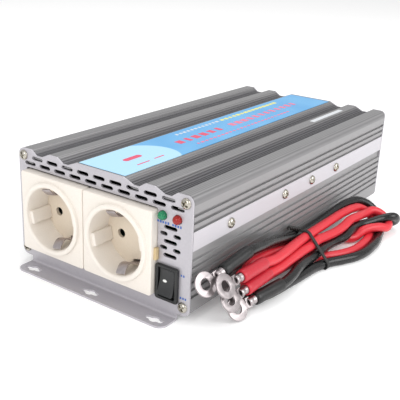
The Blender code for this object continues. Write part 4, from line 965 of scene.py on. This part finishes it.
def ended(tree, instances, finish):
    """Instances made real, with their material."""
    real = add(tree, "GeometryNodeRealizeInstances", {"Geometry": instances})
    done = add(tree, "GeometryNodeSetMaterial", {"Geometry": real.outputs[0], "Material": finish})
    add(tree, "NodeGroupOutput", {"Geometry": done.outputs[0]})
    return tree


def grown(name, tree, values, base=None):
    """Runs a tree on a base mesh and gives the plain mesh that comes out."""
    thing = bpy.data.objects.new(name, base or bpy.data.meshes.new(name))
    modifier = thing.modifiers.new("grow", "NODES")
    modifier.node_group = tree
    for item in tree.interface.items_tree:
        if item.in_out == "INPUT" and item.name in values:
            modifier[item.identifier] = values[item.name]
    return made_mesh(thing)


screw_tree, given = tree_with("screws_on_points", [
    ("Head", "Object"), ("Least turn", "Float"), ("Most turn", "Float"), ("Seed", "Int"),
    ("Finish", "Material")], geometry=True)
way = add(screw_tree, "GeometryNodeInputNamedAttribute", {"Name": "way"}, data_type="FLOAT_VECTOR")
upright = add(screw_tree, "FunctionNodeAlignRotationToVector", {"Vector": way.outputs[0]}, axis="Z")
angle = add(screw_tree, "FunctionNodeRandomValue", {2: given["Least turn"], 3: given["Most turn"],
                                                    "Seed": given["Seed"]}, data_type="FLOAT")
roll = add(screw_tree, "FunctionNodeAxisAngleToRotation", {"Axis": (0, 0, 1),
                                                           "Angle": angle.outputs[1]})
turned = add(screw_tree, "FunctionNodeRotateRotation", {
    "Rotation": upright.outputs[0], "Rotate By": roll.outputs[0]}, rotation_space="LOCAL")
head_geometry = add(screw_tree, "GeometryNodeObjectInfo", {"Object": given["Head"]})
placed = add(screw_tree, "GeometryNodeInstanceOnPoints", {
    "Points": given["Geometry"], "Instance": head_geometry.outputs["Geometry"],
    "Rotation": turned.outputs[0]})
ended(screw_tree, placed.outputs[0], given["Finish"])
print("tree inputs:", [i.name for i in screw_tree.interface.items_tree])

# %% [markdown]
# The screw places could be typed in. They are read from the boxes of the CAD
# screws, so they follow the frame: the tip of each box along the way its head
# looks is the top of the head. The way is kept as an attribute of each point.

# %% Screws on their places
WAYS = {"front": (0, -1, 0), "rear": (0, 1, 0), "fan": (0, 1, 0), "side_screw_right": (1, 0, 0),
        "side_screw_left": (-1, 0, 0)}
spots, ways, stood_for = [], [], []
for name in sorted(n for n in nodes if "_screw_" in n):
    out = Vector(next(w for start, w in WAYS.items() if name.startswith(start)))
    low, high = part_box(name)
    middle, reach = (low + high) / 2, (high - low) / 2
    tip = middle + Vector(a * b for a, b in zip(out, reach))
    spots.append(tip - out * 0.0018)
    ways.append(out)
    stood_for.append(name)
points = bpy.data.meshes.new("screw_places")
points.from_pydata(spots, [], [])
points.attributes.new("way", "FLOAT_VECTOR", "POINT").data.foreach_set(
    "vector", [c for w in ways for c in w])
template = bpy.data.objects.new("screw_head", head_mesh)
scene.collection.objects.link(template)
mesh = grown("screws", screw_tree, {"Head": template, "Least turn": 0.2, "Most turn": 1.5,
                                    "Seed": 7, "Finish": FINISH["nickel"]}, points)
bpy.data.objects.remove(template)
declared(bpy.data.objects.new("screws", mesh), "inverter", stood_for)
print("screws:", len(spots), "faces:", len(mesh.polygons))

# %% [markdown]
# The label is a printed film: pale blue at the socket end, up to the arc of an
# ellipse, and a deeper blue behind it. The ellipse is worked out from the
# object coordinates in the material, so its edge is sharp at any size.

# %% Label film
def label_film():
    material, tree, shader = finish_for("printed_label_film", "#5cabe0", 0.34)
    place = add(tree, "ShaderNodeTexCoord").outputs["Object"]
    centred = add(tree, "ShaderNodeMapping", {"Vector": place, "Location": (-0.003, 0.108, -0.074),
                                              "Scale": (1, 1, 1)}).outputs["Vector"]
    scaled = add(tree, "ShaderNodeVectorMath", {0: centred, 1: (1 / 0.0265, 1 / 0.0370, 0)},
                 operation="MULTIPLY").outputs[0]
    reach = add(tree, "ShaderNodeVectorMath", {0: scaled}, operation="LENGTH").outputs["Value"]
    inside = add(tree, "ShaderNodeMapRange", {"Value": reach, "From Min": 0.985, "From Max": 1.01,
                                              "To Min": 1.0, "To Max": 0.0}).outputs["Result"]
    y = add(tree, "ShaderNodeSeparateXYZ", {"Vector": place}).outputs["Y"]
    front = add(tree, "ShaderNodeMath", {0: y, 1: -0.108}, operation="LESS_THAN").outputs[0]
    pale = add(tree, "ShaderNodeMath", {0: inside, 1: front}, operation="MAXIMUM").outputs[0]
    cloud = add(tree, "ShaderNodeTexNoise", {"Vector": place, "Scale": 45.0, "Detail": 1.0})
    deep = add(tree, "ShaderNodeMix", {0: cloud.outputs["Fac"], 6: linear("#3f9ad6"),
                                       7: linear("#6db6e6")}, data_type="RGBA").outputs[2]
    both = add(tree, "ShaderNodeMix", {0: pale, 6: deep, 7: linear("#aedcf6")}, data_type="RGBA")
    tree.links.new(both.outputs[2], shader.inputs["Base Color"])
    return material


FINISH["label"] = label_film()
print("label:", FINISH["label"].name)

# %% [markdown]
# The printing on the label and the captions on the front panel carry no words
# here. Rows of short bars stand in for them. One Geometry Nodes tree sets bars
# along a line, each with its own length from a fixed seed.

# %% Rows of bars
bar_tree, given = tree_with("bars_in_a_row", [
    ("Start", "Vector"), ("Step", "Vector"), ("Count", "Int"), ("Bar", "Vector"),
    ("Least size", "Vector"), ("Seed", "Int"), ("Finish", "Material")])
line = add(bar_tree, "GeometryNodeMeshLine", {
    "Count": given["Count"], "Start Location": given["Start"], "Offset": given["Step"]}, mode="OFFSET")
bar = add(bar_tree, "GeometryNodeMeshCube", {"Size": given["Bar"]})
spread = add(bar_tree, "FunctionNodeRandomValue", {0: given["Least size"], 1: (1, 1, 1),
                                                   "Seed": given["Seed"]}, data_type="FLOAT_VECTOR")
placed = add(bar_tree, "GeometryNodeInstanceOnPoints", {
    "Points": line.outputs[0], "Instance": bar.outputs[0], "Scale": spread.outputs[0]})
ended(bar_tree, placed.outputs[0], given["Finish"])
label_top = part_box("top_label")[1].z
ROWS = [  # name, start x, y, step along y, count, bar x, bar y, finish, seed
    ("row_white", -0.0118, -0.0440, 0.0042, 12, 0.0026, 0.0032, "sticker", 3),
    ("row_yellow", -0.0118, 0.0090, 0.0052, 15, 0.0030, 0.0044, "yellow_print", 5),
    ("row_red", 0.0000, -0.0560, 0.0086, 6, 0.0066, 0.0060, "red_print", 8),
    ("row_pink", 0.0000, 0.0040, 0.0078, 12, 0.0060, 0.0058, "pink_print", 11),
    ("row_small", 0.0100, -0.0500, 0.0046, 26, 0.0020, 0.0032, "pink_print", 2),
]
for name, x, y, step, count, wide, long, finish, seed in ROWS:
    mesh = grown(name, bar_tree, {
        "Start": (x, y, label_top + 0.00003), "Step": (0, step, 0), "Count": count,
        "Bar": (wide, long, 0.00006), "Least size": (0.85, 0.55, 1), "Seed": seed,
        "Finish": FINISH[finish]})
    declared(bpy.data.objects.new(name, mesh), "inverter")
CAPTIONS = [  # name, start x, z, step, count, bar width, height
    ("caption_power", 0.0427, 0.0556, 0.0017, 5, 0.0012, 0.0016),
    ("caption_fault", 0.0526, 0.0556, 0.0017, 4, 0.0012, 0.0016),
    ("caption_on", 0.0592, 0.0283, 0.0016, 2, 0.0011, 0.0016),
    ("caption_off", 0.0592, 0.0150, 0.0016, 3, 0.0011, 0.0016),
]
for name, x, z, step, count, wide, high in CAPTIONS:
    mesh = grown(name, bar_tree, {
        "Start": (x, face - 0.00003, z), "Step": (step, 0, 0), "Count": count,
        "Bar": (wide, 0.00006, high), "Least size": (0.8, 1, 0.7), "Seed": len(name),
        "Finish": FINISH["blue_print"]})
    declared(bpy.data.objects.new(name, mesh), "inverter")
print("rows:", [row[0] for row in ROWS + CAPTIONS])

# %% [markdown]
# A plain red bar with round ends fills the pale part of the label, with two
# short lines beside it. A small paper sticker lies on the outer land near the
# rear of the case.

# %% Plain bar and sticker
bar = sheet_cut([rounded(0.0040, 0.0150, 0.0019)], 0, 0.00006)
piece("plain_bar", seated(bar, Matrix.Translation((-0.0005, -0.1015, label_top))), "red_print")
for name, x, y, long in (("mark_line_1", 0.0100, -0.1040, 0.011), ("mark_line_2", 0.0095, -0.0890, 0.009)):
    line = sheet_cut([rounded(0.0010, long, 0.0004)], 0, 0.00006)
    piece(name, seated(line, Matrix.Translation((x, y, label_top))), "red_print")
strip = sheet_cut([rounded(0.0036, 0.048, 0.0005)], 0, 0.00012)
land_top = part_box("case_extrusion")[1].z
piece("paper_strip", seated(strip, Matrix.Translation((0.0376, 0.0750, land_top))), "sticker")
print("marks on z", round(label_top, 4))

# %% [markdown]
# Everything else keeps its CAD shape: the pressed and bent metal, the fan, the
# terminals and the inner parts. Each gets the finish of what it is made of.

# %% Finishes of the CAD parts
KEEPS = {
    "case_extrusion": aluminium, "clamp_bar_left": aluminium, "clamp_bar_right": aluminium,
    "front_panel": FINISH["steel"], "rear_panel": FINISH["steel"], "base_plate": FINISH["steel"],
    "top_label": FINISH["label"], "circuit_board": FINISH["board"],
    "capacitor": FINISH["can"], "transformer_1": FINISH["ferrite"],
    "transformer_2": FINISH["ferrite"], "fan_frame": FINISH["black"],
    "fan_guard": FINISH["black"], "fan_rotor": FINISH["rocker"],
    "terminal_black_base": FINISH["black"], "terminal_red_base": FINISH["red_knob"],
    "terminal_black_knob": FINISH["black"], "terminal_red_knob": FINISH["red_knob"],
    "terminal_black_stud": FINISH["brass"], "terminal_red_stud": FINISH["brass"],
}
shown = [n for n, o in nodes.items() if not o.hide_render]
for name in shown:
    mesh = nodes[name].data
    for k in range(len(mesh.materials)):
        mesh.materials[k] = KEEPS[name]
print("kept:", len(shown), "without a finish:", sorted(set(shown) - set(KEEPS)))
